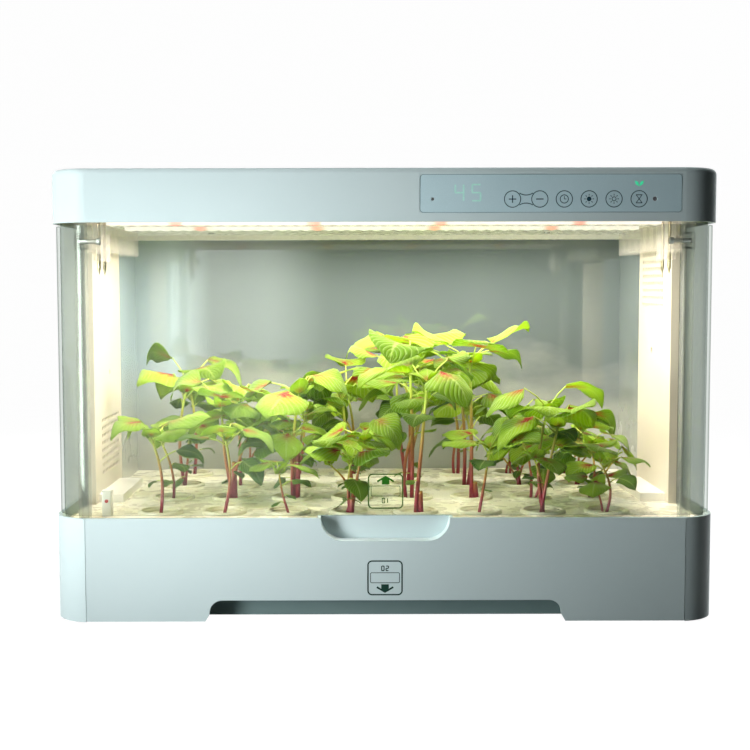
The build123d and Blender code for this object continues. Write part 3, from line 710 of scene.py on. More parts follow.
SLOT_FINISH: dict[str, Finish] = {
    "housing": HOUSING,
    "dark_gloss": KICK,
    "rubber": RUBBER,
    "white_plastic": WHITE,
    "cream_plastic": CUP,
    "runner_plastic": RUNNER,
    "grey_gloss": SHEET,
    "clear_plastic": CLEAR,
    "steel": STEEL,
    "brass": ZINC,
    "circuit": CIRCUIT,
    "led_white": LED_WHITE,
    "led_red": LED_RED,
    "red_lamp": RED_LENS,
    "film": FILM,
    "black_plastic": BLACK,
    "foam": SPONGE,
}
PAIR_FINISH: dict[str, Finish] = {
    "air_panel": PANEL,
    "liner": LINER,
    "side_window": WINDOW,
    "corner_post": POST,
    "hinge_bracket": CLEAR_THICK,
    "guide_rail": CLEAR_THICK,
}
NODE_FINISH: dict[str, Finish] = {
    f"{side}_{name}": finish for name, finish in PAIR_FINISH.items() for side in ("left", "right")
} | {
    "left_side_window": WINDOW_PAINTED_LIT,
    "planting_board": BOARD,
    "deck_frame": BOARD,
    "front_led_board": LED_BOARD,
    "rear_led_board": LED_BOARD,
    "lamp_panel": LAMP_PANEL,
    "rear_soffit": LAMP_PANEL,
    "water_tank": TANK,
    "power_inlet": BLACK,
}


@dataclass
class Sheaf:
    """Points, faces and per-point values gathered for one mesh piece."""

    points: list[Vector] = field(default_factory=list)
    faces: list[tuple[int, ...]] = field(default_factory=list)
    values: dict[str, list[float]] = field(default_factory=dict)
    chart: list[Spot] = field(default_factory=list)

    def add(self, points: list[Vector], faces: list[tuple[int, ...]]) -> None:
        """Appends points, and faces that count from the first of them.

        Args:
            points: The new points.
            faces: The new faces, as numbers of the new points.
        """
        first = len(self.points)
        self.points += points
        self.faces += [tuple(first + i for i in face) for face in faces]

    def piece(self, name: str, finish: Finish, body: Body, smooth: bool = True) -> bpy.types.Object:
        """Makes the mesh object and puts it on its body.

        Args:
            name: Name of the piece.
            finish: Its finish.
            body: The body it rides on.
            smooth: Whether its faces are shaded smooth.

        Returns:
            The new object.
        """
        mesh = bpy.data.meshes.new(name)
        mesh.from_pydata(self.points, [], self.faces)
        mesh.polygons.foreach_set("use_smooth", [smooth] * len(mesh.polygons))
        for key, numbers in self.values.items():
            mesh.attributes.new(key, "FLOAT", "POINT").data.foreach_set("value", numbers)
        if self.chart:
            layer = mesh.uv_layers.new(name="leaf")
            flat = [c for loop in mesh.loops for c in self.chart[loop.vertex_index]]
            layer.uv.foreach_set("vector", flat)
        mesh.materials.append(finish.material())
        mesh.update()
        made = bpy.data.objects.new(name, mesh)
        bpy.context.scene.collection.objects.link(made)
        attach(made, body.value)
        LOG.info("piece %s: %d faces on %s", name, len(self.faces), body.value)
        return made


LIT_STROKES = {"0": "abcdef", "1": "bc", "2": "abged", "4": "fgbc", "5": "afgcd"}


@dataclass
class Print:
    """Flat printed shapes on an upright plane that faces the front, drawn in millimetres of X and Z."""

    plane_y: float
    sheaf: Sheaf = field(default_factory=Sheaf)

    def shape(self, outline: list[Spot]) -> None:
        """Fills a closed outline, given anticlockwise as seen from the front."""
        points = [Vector((x * MM, self.plane_y, z * MM)) for x, z in outline]
        self.sheaf.add(points, [tuple(range(len(points)))])

    def ring(
        self, x: float, z: float, outer: float, inner: float, start: float = 0.0, turn: float = 360.0
    ) -> None:
        """Draws a ring or an arc of it.

        Args:
            x: Centre across.
            z: Centre height.
            outer: Outer radius.
            inner: Inner radius.
            start: First angle in degrees, from the right, anticlockwise.
            turn: How far it runs, in degrees.
        """
        steps = max(6, round(turn / 9))
        for i in range(steps):
            a, b = (math.radians(start + turn * k / steps) for k in (i, i + 1))
            corners = ((inner, a), (outer, a), (outer, b), (inner, b))
            self.shape([(x + r * math.cos(angle), z + r * math.sin(angle)) for r, angle in corners])

    def disc(self, x: float, z: float, radius: float) -> None:
        """Fills a circle."""
        turns = [math.tau * i / 36 for i in range(36)]
        self.shape([(x + radius * math.cos(a), z + radius * math.sin(a)) for a in turns])

    def bar(self, start: Spot, end: Spot, width: float) -> None:
        """Draws a straight stroke.

        Args:
            start: Middle of one end.
            end: Middle of the other end.
            width: Width of the stroke.
        """
        a, b = Vector(start), Vector(end)
        side = (b - a).orthogonal().normalized() * (width / 2)
        self.shape([tuple(a + side), tuple(a - side), tuple(b - side), tuple(b + side)])

    def border(self, x: Spot, z: Spot, corner: float, width: float) -> None:
        """Outlines a rectangle with rounded corners.

        Args:
            x: Left and right.
            z: Bottom and top.
            corner: Outer corner radius.
            width: Width of the line.
        """
        half = width / 2
        for level in (z[0] + half, z[1] - half):
            self.bar((x[0] + corner, level), (x[1] - corner, level), width)
        for level in (x[0] + half, x[1] - half):
            self.bar((level, z[0] + corner), (level, z[1] - corner), width)
        left, right, low, high = x[0] + corner, x[1] - corner, z[0] + corner, z[1] - corner
        for quarter, centre in enumerate(((right, high), (left, high), (left, low), (right, low))):
            self.ring(*centre, corner, corner - width, 90.0 * quarter, 90.0)

    def digit(self, figure: str, x: float, z: float, height: float, width: float) -> None:
        """Draws one figure from straight strokes.

        Args:
            figure: A figure that LIT_STROKES holds.
            x: Left edge.
            z: Bottom edge.
            height: Height of the figure.
            width: Width of a stroke.
        """
        right, middle, top = x + height * 0.52, z + height / 2, z + height
        strokes = {
            "a": ((x, top), (right, top)),
            "b": ((right, middle), (right, top)),
            "c": ((right, z), (right, middle)),
            "d": ((x, z), (right, z)),
            "e": ((x, z), (x, middle)),
            "f": ((x, middle), (x, top)),
            "g": ((x, middle), (right, middle)),
        }
        for name in LIT_STROKES[figure]:
            self.bar(*strokes[name], width)

    def press(self, name: str, finish: Finish, body: Body) -> bpy.types.Object:
        """Makes the printed piece."""
        return self.sheaf.piece(name, finish, body, smooth=False)


@dataclass
class Casework:
    """The moulded and machined pieces as packed, dressed in their finishes."""

    own_finish: dict[str, Finish] = field(default_factory=lambda: NODE_FINISH)

    def dress(self) -> None:
        """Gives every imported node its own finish, or the finish of its slot."""
        slots = {row["node"]: row["material_slot"] for row in frame["record"]["subparts"]}
        for name, node in frame["nodes"].items():
            finish = self.own_finish.get(name, SLOT_FINISH[slots[name]])
            if not node.material_slots:
                node.data.materials.append(finish.material())
            for slot in node.material_slots:
                slot.material = finish.material()
            LOG.info("node %s: %s", name, finish.name)


@dataclass
class LampBank:
    """Two cast silicone lens bars, swelling a little over each lit chip, with a red chip here and there."""

    chips: int = 44
    steps: int = 8
    sides: int = 10
    swell: float = 0.1
    red_reach: float = 0.55
    reds: tuple[tuple[int, ...], ...] = ((5, 16, 26, 37), (6, 16, 26, 36))

    def bar(
        self, sheaf: Sheaf, board: str, bottom: float, radius: float, pitch: float, reds: tuple[int, ...]
    ) -> None:
        """Adds one bar under its circuit board.

        Args:
            sheaf: Mesh that takes it.
            board: Node of the circuit board.
            bottom: Lowest point of the lenses.
            radius: Half the width of a lens.
            pitch: Distance from chip to chip.
            reds: Numbers of the red chips.
        """
        low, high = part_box(board)
        middle, top = (low + high) / 2, low.z
        count, row = self.chips * self.steps, self.sides + 1
        points, faces, marks = [], [], []
        for i in range(count + 1):
            along = i / self.steps - 0.5
            share = 1 - self.swell + self.swell * math.cos(math.tau * along)
            x = middle.x + (along - (self.chips - 1) / 2) * pitch
            for k in range(row):
                a = math.pi * k / self.sides
                y, z = middle.y - math.cos(a) * radius * share, top - math.sin(a) * (top - bottom) * share
                points.append(Vector((x, y, z)))
            marks += [max(math.exp(-(((along - chip) / self.red_reach) ** 4)) for chip in reds)] * row
        for i in range(count):
            for k in range(self.sides):
                a = i * row + k
                faces.append((a, a + 1, a + row + 1, a + row))
            faces.append((i * row, (i + 1) * row, (i + 2) * row - 1, (i + 1) * row - 1))
        faces += [tuple(range(row))[::-1], tuple(count * row + k for k in range(row))]
        sheaf.add(points, faces)
        sheaf.values.setdefault("red", []).extend(marks)

    def build(self) -> None:
        """Builds both bars in place of the separate lenses."""
        low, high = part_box("white_leds")
        sheaf = Sheaf()
        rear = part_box("rear_led_board")
        radius = high.y - (rear[0].y + rear[1].y) / 2
        pitch = (high.x - low.x - 2 * radius) / (self.chips - 1)
        for node, reds in zip(("front_led_board", "rear_led_board"), self.reds):
            self.bar(sheaf, node, low.z, radius, pitch, reds)
        piece = sheaf.piece("led_lens_bars", LED_BAR, Body.CABINET)
        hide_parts("white_leds", "red_leds")


@dataclass
class ControlPanel:
    """Printing on the control film: touch keys, display figures and a growth sign, in millimetres."""

    key_height: float = 366.9
    key_radius: float = 7.3
    key_line: float = 0.75
    key_places: tuple[float, ...] = (108.3, 131.5, 152.3, 173.4, 194.6, 215.9)
    sign_line: float = 0.9
    fine_line: float = 0.6
    film_corner: float = 3.0
    film_edge: float = 0.45
    figures: tuple[tuple[str, float], ...] = (("4", 59.6), ("5", 74.0))
    figure_foot: float = 365.6
    figure_height: float = 13.6
    figure_line: float = 1.4
    growth_rise: float = 13.0
    growth_leaf: tuple[Spot, ...] = ((0.0, -2.6), (3.2, -0.6), (3.9, 2.6), (0.8, 1.2))
    raise_mm: float = 0.06

    def build(self) -> None:
        """Prints the keys, signs and figures just in front of the film."""
        low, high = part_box("control_film")
        plane = low.y - self.raise_mm * MM
        keys, edge, figures, growth = (Print(plane) for _ in range(4))
        for x in self.key_places:
            keys.ring(x, self.key_height, self.key_radius, self.key_radius - self.key_line)
        self.signs(keys)
        keys.press("touch_key_print", KEY_INK, Body.CABINET)
        across, upright = (low.x / MM, high.x / MM), (low.z / MM, high.z / MM)
        edge.border(across, upright, self.film_corner, self.film_edge)
        edge.press("film_edge_print", EDGE_INK, Body.CABINET)
        for figure, x in self.figures:
            figures.digit(figure, x, self.figure_foot, self.figure_height, self.figure_line)
        figures.press("display_figures", DIGIT_GLOW, Body.CABINET)
        x, z = self.key_places[-1], self.key_height + self.growth_rise
        for way in (-1, 1):
            growth.shape([(x + way * a, z + b) for a, b in self.growth_leaf[::way]])
        growth.press("growth_sign", LEAF_GLOW, Body.CABINET)

    def signs(self, keys: Print) -> None:
        """Draws a plain sign in each key: more, less, clock, lamp on, lamp off and timer.

        Args:
            keys: Print that takes them.
        """
        z, fine = self.key_height, self.fine_line
        more, less, clock, lamp_on, lamp_off, timer = self.key_places
        arm = 3.2
        keys.bar((more - arm, z), (more + arm, z), self.sign_line)
        keys.bar((more, z - arm), (more, z + arm), self.sign_line)
        keys.bar((less - arm, z), (less + arm, z), self.sign_line)
        waist, bow, bow_gap = (more + less) / 2, 11.0, 3.0
        for way, start in ((-1, 57.0), (1, 237.0)):
            keys.ring(waist, z + way * (bow + bow_gap), bow, bow - self.key_line, start, 66.0)
        keys.ring(clock, z, 3.8, 3.1)
        keys.bar((clock, z), (clock, z + 2.4), fine)
        keys.bar((clock, z), (clock + 1.8, z), fine)
        bulb, ray_start, ray_end, rays = 2.0, 2.8, 4.2, 8
        keys.disc(lamp_on, z, bulb)
        keys.ring(lamp_off, z, bulb, bulb - fine)
        for x in (lamp_on, lamp_off):
            for a in (math.tau * i / rays for i in range(rays)):
                foot, tip = ((x + r * math.cos(a), z + r * math.sin(a)) for r in (ray_start, ray_end))
                keys.bar(foot, tip, fine)
        for way in (-1, 1):
            keys.bar((timer - 2.8, z + way * 3.4), (timer + 2.8, z + way * 3.4), 0.7)
            keys.bar((timer - 2.4, z + way * 3.2), (timer, z), fine)
            keys.bar((timer + 2.4, z + way * 3.2), (timer, z), fine)


@dataclass(frozen=True)
class SignLayout:
    """One numbered square: where its middle is, and its parts from there, in millimetres."""

    carrier: str
    body: Body
    up: bool
    place: Spot
    plate: Spot
    number_foot: float
    figures: tuple[tuple[str, float], ...]
    arrow_tail: float
    ink: Finish
    arrow_ink: Finish


@dataclass
class UseSigns:
    """The two numbered squares that show how the door lifts and the drawer pulls, in millimetres."""

    half: float = 15.4
    corner: float = 4.2
    line: float = 1.2
    plate_half: float = 12.8
    plate_corner: float = 1.2
    plate_line: float = 0.6
    figure_height: float = 4.0
    figure_line: float = 0.85
    tail_half: float = 3.3
    tail_length: float = 3.9
    half_head: tuple[Spot, ...] = ((0.0, 3.9), (3.3, 3.9), (6.7, 1.8), (7.6, 3.2), (0.0, 7.6))
    raise_mm: float = 0.08
    signs: tuple[SignLayout, ...] = (
        SignLayout(
            "door_pane", Body.DOOR, True, (0.3, 116.2), (-4.4, 4.8), -10.2, (("0", -2.9), ("1", -0.4)), 5.9,
            DOOR_INK, ARROW_INK,
        ),
        SignLayout(
            "drawer_front", Body.DRAWER, False, (-0.3, 40.7), (-4.6, 4.8), 6.4, (("0", -2.9), ("2", 0.9)), -5.6,
            DRAWER_INK, DRAWER_INK,
        ),
    )

    def arrow(self, sign: Print, x: float, base: float, up: bool) -> None:
        """Draws a short block arrow.

        Args:
            sign: Print that takes it.
            x: Middle of the arrow.
            base: Height of its tail.
            up: Whether it points up.
        """
        way = 1 if up else -1
        head = [(x + a, base + way * b) for a, b in self.half_head]
        head += [(x - a, base + way * b) for a, b in self.half_head[-2:0:-1]]
        left, right, neck = x - self.tail_half, x + self.tail_half, base + way * self.tail_length
        for outline in (head, [(left, base), (right, base), (right, neck), (left, neck)]):
            sign.shape(outline if up else outline[::-1])

    def square(self, sign: SignLayout) -> None:
        """Prints one numbered square on the front of the node that carries it.

        Args:
            sign: Its layout.
        """
        x, z = sign.place
        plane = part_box(sign.carrier)[0].y - self.raise_mm * MM
        lines, arrows = Print(plane), Print(plane)
        lines.border((x - self.half, x + self.half), (z - self.half, z + self.half), self.corner, self.line)
        plate_x, plate_z = (x - self.plate_half, x + self.plate_half), (z + sign.plate[0], z + sign.plate[1])
        lines.border(plate_x, plate_z, self.plate_corner, self.plate_line)
        for figure, left in sign.figures:
            lines.digit(figure, x + left, z + sign.number_foot, self.figure_height, self.figure_line)
        lines.press(f"{sign.body.value}_sign_lines", sign.ink, sign.body)
        self.arrow(arrows, x, z + sign.arrow_tail, sign.up)
        arrows.press(f"{sign.body.value}_sign_arrow", sign.arrow_ink, sign.body)

    def build(self) -> None:
        """Prints sign 01 on the door and sign 02 on the drawer front."""
        for sign in self.signs:
            self.square(sign)


@dataclass
class SpongePlugs:
    """Growing sponges in the cups, one for each seedling, crowned and slit on top, in millimetres."""

    rings: int = 28
    foot: tuple[Spot, ...] = ((0.96, 0.0), (1.0, 1.0))
    waist: float = 0.985
    shoulder: tuple[Spot, ...] = ((1.0, -1.5), (0.97, -0.3), (0.8, 0.2), (0.4, 1.2), (0.12, -1.6))

    def build(self, places: list[Vector], radius: float, bottom: float, top: float) -> bpy.types.Object:
        """Builds all the plugs as one piece that stands for the plain ones.

        Args:
            places: Middle of each cup.
            radius: Radius of a plug.
            bottom: Height of its foot.
            top: Height of its shoulder.

        Returns:
            The piece.
        """
        sheaf = Sheaf()
        profile = [(share, bottom + up * MM) for share, up in self.foot]
        profile.append((self.waist, (bottom + top) / 2))
        profile += [(share, top + up * MM) for share, up in self.shoulder]
        turns = [math.tau * i / self.rings for i in range(self.rings)]
        faces = []
        for low in range(0, (len(profile) - 1) * self.rings, self.rings):
            high = low + self.rings
            for i in range(self.rings):
                j = (i + 1) % self.rings
                faces.append((low + i, low + j, high + j, high + i))
        last = (len(profile) - 1) * self.rings
        faces += [tuple(range(self.rings))[::-1], tuple(last + i for i in range(self.rings))]
        for place in places:
            points = []
            for share, height in profile:
                reach = share * radius
                points += [
                    Vector((place.x + reach * math.cos(a), place.y + reach * math.sin(a), height)) for a in turns
                ]
            sheaf.add(points, faces)
        piece = sheaf.piece("sponge_plugs_foam", SPONGE, Body.DRAWER)
        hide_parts("sponge_plugs")
        return piece


@dataclass
class Seedling:
    """One amaranth seedling: bent stems, stalked leaves round them and a young tuft on top."""

    foot: Vector
    height: float
    reach: dict[str, float]
    dice: random.Random
    leaf_rows: int = 9
    leaf_columns: int = 6
    leaf_skin: float = 0.35
    stem_sides: int = 8
    stem_steps: int = 12
    grown: float = 110.0

    def kept_in(self, point: Vector) -> Vector:
        """Draws a point in where the seedling would touch the walls or the next row.

        Args:
            point: Point of a leaf.

        Returns:
            The point within the seedling's reach, eased towards it.
        """
        away = point - self.foot
        limit_x = self.reach["right"] if away.x > 0 else self.reach["left"]
        limit_y = self.reach["back"] if away.y > 0 else self.reach["front"]
        eased = [limit * math.tanh(a / limit) for a, limit in ((away.x, limit_x), (away.y, limit_y))]
        return self.foot + Vector((eased[0], eased[1], away.z))

    def tube(self, sheaf: Sheaf, line: list[Vector], radii: list[float], levels: list[float]) -> None:
        """Adds a round stalk along a line.

        Args:
            sheaf: Mesh that takes it.
            line: Points along its middle.
            radii: Radius at each point.
            levels: Colour level at each point, from 0 at the foot to 1 at the tip.
        """
        sides, last = self.stem_sides, len(line) - 1
        off_line = Vector((0.31, 0.94, 0.12))  # a way that no stalk runs along
        points, faces, marks = [], [], []
        for i, centre in enumerate(line):
            ahead = (line[min(i + 1, last)] - line[max(i - 1, 0)]).normalized()
            across = ahead.cross(off_line).normalized()
            up = ahead.cross(across)
            for k in range(sides):
                a = math.tau * k / sides
                points.append(self.kept_in(centre + (across * math.cos(a) + up * math.sin(a)) * radii[i]))
            marks += [levels[i]] * sides
        for low in range(0, last * sides, sides):
            for k in range(sides):
                j = (k + 1) % sides
                faces.append((low + k, low + j, low + sides + j, low + sides + k))
        faces += [tuple(range(sides))[::-1], tuple(last * sides + k for k in range(sides))]
        sheaf.add(points, faces)
        sheaf.values.setdefault("height", []).extend(marks)

    def leaf(
        self, sheaf: Sheaf, root: Vector, heading: float, rise: float, length: float, youth: float, blush: float
    ) -> None:
        """Adds one ovate leaf with a folded rib, wavy rim and drooping tip.

        Args:
            sheaf: Mesh that takes it.
            root: Where it joins its stalk.
            heading: Compass direction it grows in, in radians.
            rise: Slope at its root, in radians.
            length: Length of the blade.
            youth: Colour from 0, dark and old, to 1, bright and young.
            blush: Strength of the red at its root.
        """
        dice = self.dice
        half_width = length * dice.uniform(0.34, 0.43)
        droop, fold = dice.uniform(0.3, 1.1), dice.uniform(-0.34, 0.16)
        roll, waves = dice.uniform(-0.35, 0.35), dice.uniform(0.0, math.tau)
        turn = Euler((0.0, 0.0, heading)).to_matrix()
        rows, columns = self.leaf_rows, self.leaf_columns
        upper, chart, youths, blushes = [], [], [], []
        x = z = 0.0
        for t in (i / rows for i in range(rows + 1)):
            slope = rise - droop * t * t * 1.3
            outline = half_width * max(0.03, 2.66 * t**0.5 * (1 - t) ** 0.85 + 0.06 * (1 - t))
            for v in (2 * k / columns - 1 for k in range(columns + 1)):
                wave = 0.035 * length * math.sin(9 * t + waves + 2.2 * v) * v * v
                lift = fold * abs(v) ** 1.3 * outline + wave
                height = z + math.cos(slope) * lift + v * outline * roll
                point = Vector((-math.sin(slope) * lift + x, v * outline, height))
                upper.append(self.kept_in(root + turn @ point))
                chart.append((t, v))
                youths.append(min(1.0, max(0.0, youth + 0.12 * (1 - abs(v)) - 0.1 * t)))
                blushes.append(blush * max(0.0, 1.0 - t * 2.3) * max(0.0, 1.0 - abs(v) * 1.7))
            x += math.cos(slope) * length / rows
            z += math.sin(slope) * length / rows
        skin = Vector((0.0, 0.0, self.leaf_skin * MM))
        lower = [p - skin for p in upper]
        faces, count, wide = [], len(upper), columns + 1
        for i in range(rows):
            for k in range(columns):
                a = i * wide + k
                faces.append((a, a + wide, a + wide + 1, a + 1))
                faces.append((count + a, count + a + 1, count + a + wide + 1, count + a + wide))
        rim = [i * wide for i in range(rows + 1)] + [rows * wide + k for k in range(1, wide)]
        rim += [i * wide + columns for i in range(rows - 1, -1, -1)] + [k for k in range(columns - 1, 0, -1)]
        faces += [(a, count + a, count + b, b) for a, b in zip(rim, rim[1:] + rim[:1])]
        sheaf.add(upper + lower, faces)
        sheaf.chart += chart * 2
        sheaf.values.setdefault("youth", []).extend(youths * 2)
        sheaf.values.setdefault("blush", []).extend(blushes * 2)

    def stalk(self, stems: Sheaf, at: Vector, heading: float, rise: float, size: float) -> Vector:
        """Adds an arching stalk for a leaf.

        Args:
            stems: Mesh of stems and stalks.
            at: Where the stalk leaves the stem.
            heading: Compass direction, in radians.
            rise: Slope of the stalk, in radians.
            size: Length of the leaf's blade in millimetres.

        Returns:
            The stalk's tip.
        """
        length = size * self.dice.uniform(0.38, 0.6) * MM
        out = Vector((math.cos(heading), math.sin(heading), 0))
        end = at + (out * math.cos(rise) + Vector((0, 0, math.sin(rise)))) * length
        middle = at.lerp(end, 0.5) + Vector((0, 0, 0.08 * length))
        thick = (0.45 + 0.006 * size) * MM
        self.tube(stems, [at, middle, end], [thick, 0.85 * thick, 0.7 * thick], [0.8, 0.95, 1.0])
        return end

    def stem(self, stems: Sheaf, leaves: Sheaf, height: float, lean: Vector, start: Vector) -> None:
        """Grows one stem: bare and red below, then darker leaves, a wide whorl on top and a young tuft in it.

        Args:
            stems: Mesh of stems and stalks.
            leaves: Mesh of blades.
            height: Height of the stem.
            lean: Sideways way of its tip.
            start: Its foot.
        """
        dice = self.dice
        bend = Vector((dice.uniform(-5, 5), dice.uniform(-4, 4), 0)) * MM
        steps, tall = self.stem_steps, min(1.0, height / (self.grown * MM))
        shares = [i / steps for i in range(steps + 1)]
        line = [start + lean * t * t + bend * math.sin(math.pi * t) + Vector((0, 0, height * t)) for t in shares]
        thick = (0.9 + 1.2 * tall) * MM
        self.tube(stems, line, [thick * (1 - 0.4 * t) for t in shares], [t * (0.6 + 0.4 * tall) for t in shares])
        heading = dice.uniform(0, math.tau)
        whorl = 3 + round(1.2 * tall)
        for n in range(whorl):
            heading += math.tau / whorl + dice.uniform(-0.3, 0.3)
            size = (20 + 46 * tall) * dice.uniform(0.82, 1.15)
            end = self.stalk(stems, line[steps - n % 2], heading, dice.uniform(0.35, 1.0), size)
            youth, blush = dice.uniform(0.4, 1.0), dice.uniform(0.7, 2.2)
            self.leaf(leaves, end, heading, dice.uniform(-0.4, 0.35), size * MM, youth, blush)
        for _ in range(round(1.7 * tall)):
            heading += 2.4 + dice.uniform(-0.3, 0.3)
            t = dice.uniform(0.5, 0.85)
            size = (13 + 30 * tall) * dice.uniform(0.75, 1.15)
            end = self.stalk(stems, line[round(t * steps)], heading, dice.uniform(0.1, 0.7), size)
            self.leaf(leaves, end, heading, dice.uniform(-0.4, 0.2), size * MM, dice.uniform(0.05, 0.45), 0.0)
        for _ in range(dice.choice((0, 1, 2))):
            heading += 2.9
            at = line[round(dice.uniform(0.18, 0.42) * steps)]
            size = dice.uniform(9, 17)
            end = self.stalk(stems, at, heading, dice.uniform(0.0, 0.5), size)
            self.leaf(leaves, end, heading, dice.uniform(-0.6, 0.1), size * MM, dice.uniform(0.0, 0.3), 0.3)
        for _ in range(3):
            heading += 2.1
            size = dice.uniform(13, 21) * (0.7 + 0.4 * tall)
            self.leaf(leaves, line[-1], heading, dice.uniform(0.6, 1.1), size * MM, 0.9, dice.uniform(1.0, 1.8))

    def stub(self, stems: Sheaf, height: float) -> None:
        """Leaves the thick foot of a stem that was cut for eating.

        Args:
            stems: Mesh of stems and stalks.
            height: Height of the cut.
        """
        foot = self.foot + Vector((self.dice.uniform(-5, 5), self.dice.uniform(-3, 3), 0)) * MM
        tip = foot + Vector((self.dice.uniform(-2, 2), 0, 0)) * MM + Vector((0, 0, height))
        line = [foot.lerp(tip, i / 6) for i in range(7)]
        self.tube(stems, line, [(2.9 - 0.08 * i) * MM for i in range(7)], [0.06 * i for i in range(6)] + [0.5])

    def grow(self, stems: Sheaf, leaves: Sheaf) -> None:
        """Grows the seedling: one main stem and, on most, shorter ones beside it.

        Args:
            stems: Mesh of stems and stalks.
            leaves: Mesh of blades.
        """
        dice = self.dice
        lean = Vector((dice.uniform(-12, 12), dice.uniform(-8, 8), 0)) * MM
        self.stem(stems, leaves, self.height, lean, self.foot)
        for _ in range(dice.choice((0, 0, 1, 1, 2))):
            beside = self.foot + Vector((dice.uniform(-6, 6), dice.uniform(-4, 4), 0)) * MM
            away = Vector((dice.uniform(-26, 26), dice.uniform(-12, 12), 0)) * MM
            self.stem(stems, leaves, self.height * dice.uniform(0.5, 0.85), away, beside)


@dataclass
class Crop:
    """Seedlings of all the cups, row by row from the front, with each one's height given.

    Heights and reaches are in millimetres. A stub is given as its row, its column from 0 and its height.
    """

    heights: tuple[tuple[float, ...], ...] = (
        (70, 68, 36, 66, 118, 58, 94, 46),
        (56, 90, 102, 52, 134, 132, 62, 52),
        (98, 88, 78, 96, 140, 126, 70, 58),
        (100, 54, 62, 92, 112, 108, 44, 38),
    )
    stubs: tuple[tuple[int, int, float], ...] = (
        (2, 1, 36.0), (2, 2, 52.0), (1, 3, 14.0), (1, 4, 20.0), (2, 5, 16.0)
    )
    door_gap: float = 33.0
    open_reach: float = 70.0
    wall_reach: float = 46.0
    side_reach: float = 52.0

    def build(self, rows: list[list[Vector]]) -> None:
        """Grows every row as two pieces: its stems and its leaves.

        Args:
            rows: Foot of each seedling, row by row.
        """
        fronts = (self.wall_reach, self.open_reach, self.open_reach, self.door_gap)
        backs = (self.open_reach, self.open_reach, self.door_gap, self.wall_reach)
        for number, (feet, heights) in enumerate(zip(rows, self.heights), start=1):
            stems, leaves = Sheaf(), Sheaf()
            for column, (foot, height) in enumerate(zip(feet, heights)):
                reach = {
                    "left": self.side_reach if column == 0 else self.open_reach,
                    "right": self.side_reach if column == len(feet) - 1 else self.open_reach,
                    "front": fronts[number - 1],
                    "back": backs[number - 1],
                }
                reach = {side: limit * MM for side, limit in reach.items()}
                seedling = Seedling(foot, height * MM, reach, random.Random(100 * number + column))
                seedling.grow(stems, leaves)
                for row, place, cut in self.stubs:
                    if (row, place) == (number, column):
                        seedling.stub(stems, cut * MM)
            stems.piece(f"seedling_stems_row_{number}", STEM, Body.DRAWER)
            leaves.piece(f"seedling_leaves_row_{number}", LEAF, Body.DRAWER)


@dataclass
class Planting:
    """Sponges and seedlings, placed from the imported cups."""

    columns: int = 8
    rows: int = 4

    def build(self) -> None:
        """Finds each cup's middle from its row's box, then plants it."""
        plug_low, plug_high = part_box("sponge_plugs")
        feet: list[list[Vector]] = []
        for row in range(1, self.rows + 1):
            low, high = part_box(f"net_cups_row_{row}")
            rim = (high.y - low.y) / 2
            first, last = low.x + rim, high.x - rim
            step = (last - first) / (self.columns - 1)
            feet.append([Vector((first + i * step, low.y + rim, plug_high.z)) for i in range(self.columns)])
        radius = feet[0][0].x - plug_low.x
        SpongePlugs().build([p for row in feet for p in row], radius, plug_low.z, plug_high.z)
        Crop().build(feet)


@dataclass(frozen=True)
class SoftLamp:
    """A rectangular soft lamp that lights the cabinet without being seen or mirrored."""

    name: str
    place: Triple
    aim: Triple
    size: Spot
    watts: float
    tint: str = "#FFFFFF"
    spread: float = 180.0

    def hang(self) -> None:
        """Makes the lamp and turns it to the point it faces."""
        data = bpy.data.lights.new(self.name, "AREA")
        data.spread = math.radians(self.spread)
        data.shape = "RECTANGLE"
        data.size, data.size_y = self.size
        data.energy = self.watts
        data.color = linear(self.tint)[:3]
        made = bpy.data.objects.new(self.name, data)
        made.location = self.place
        ahead = Vector(self.aim) - Vector(self.place)
        made.rotation_euler = ahead.to_track_quat("-Z", "Y").to_euler()
        made.visible_camera = False
        made.visible_glossy = False
        bpy.context.scene.collection.objects.link(made)
        LOG.info("lamp %s: %.2f W", self.name, self.watts)


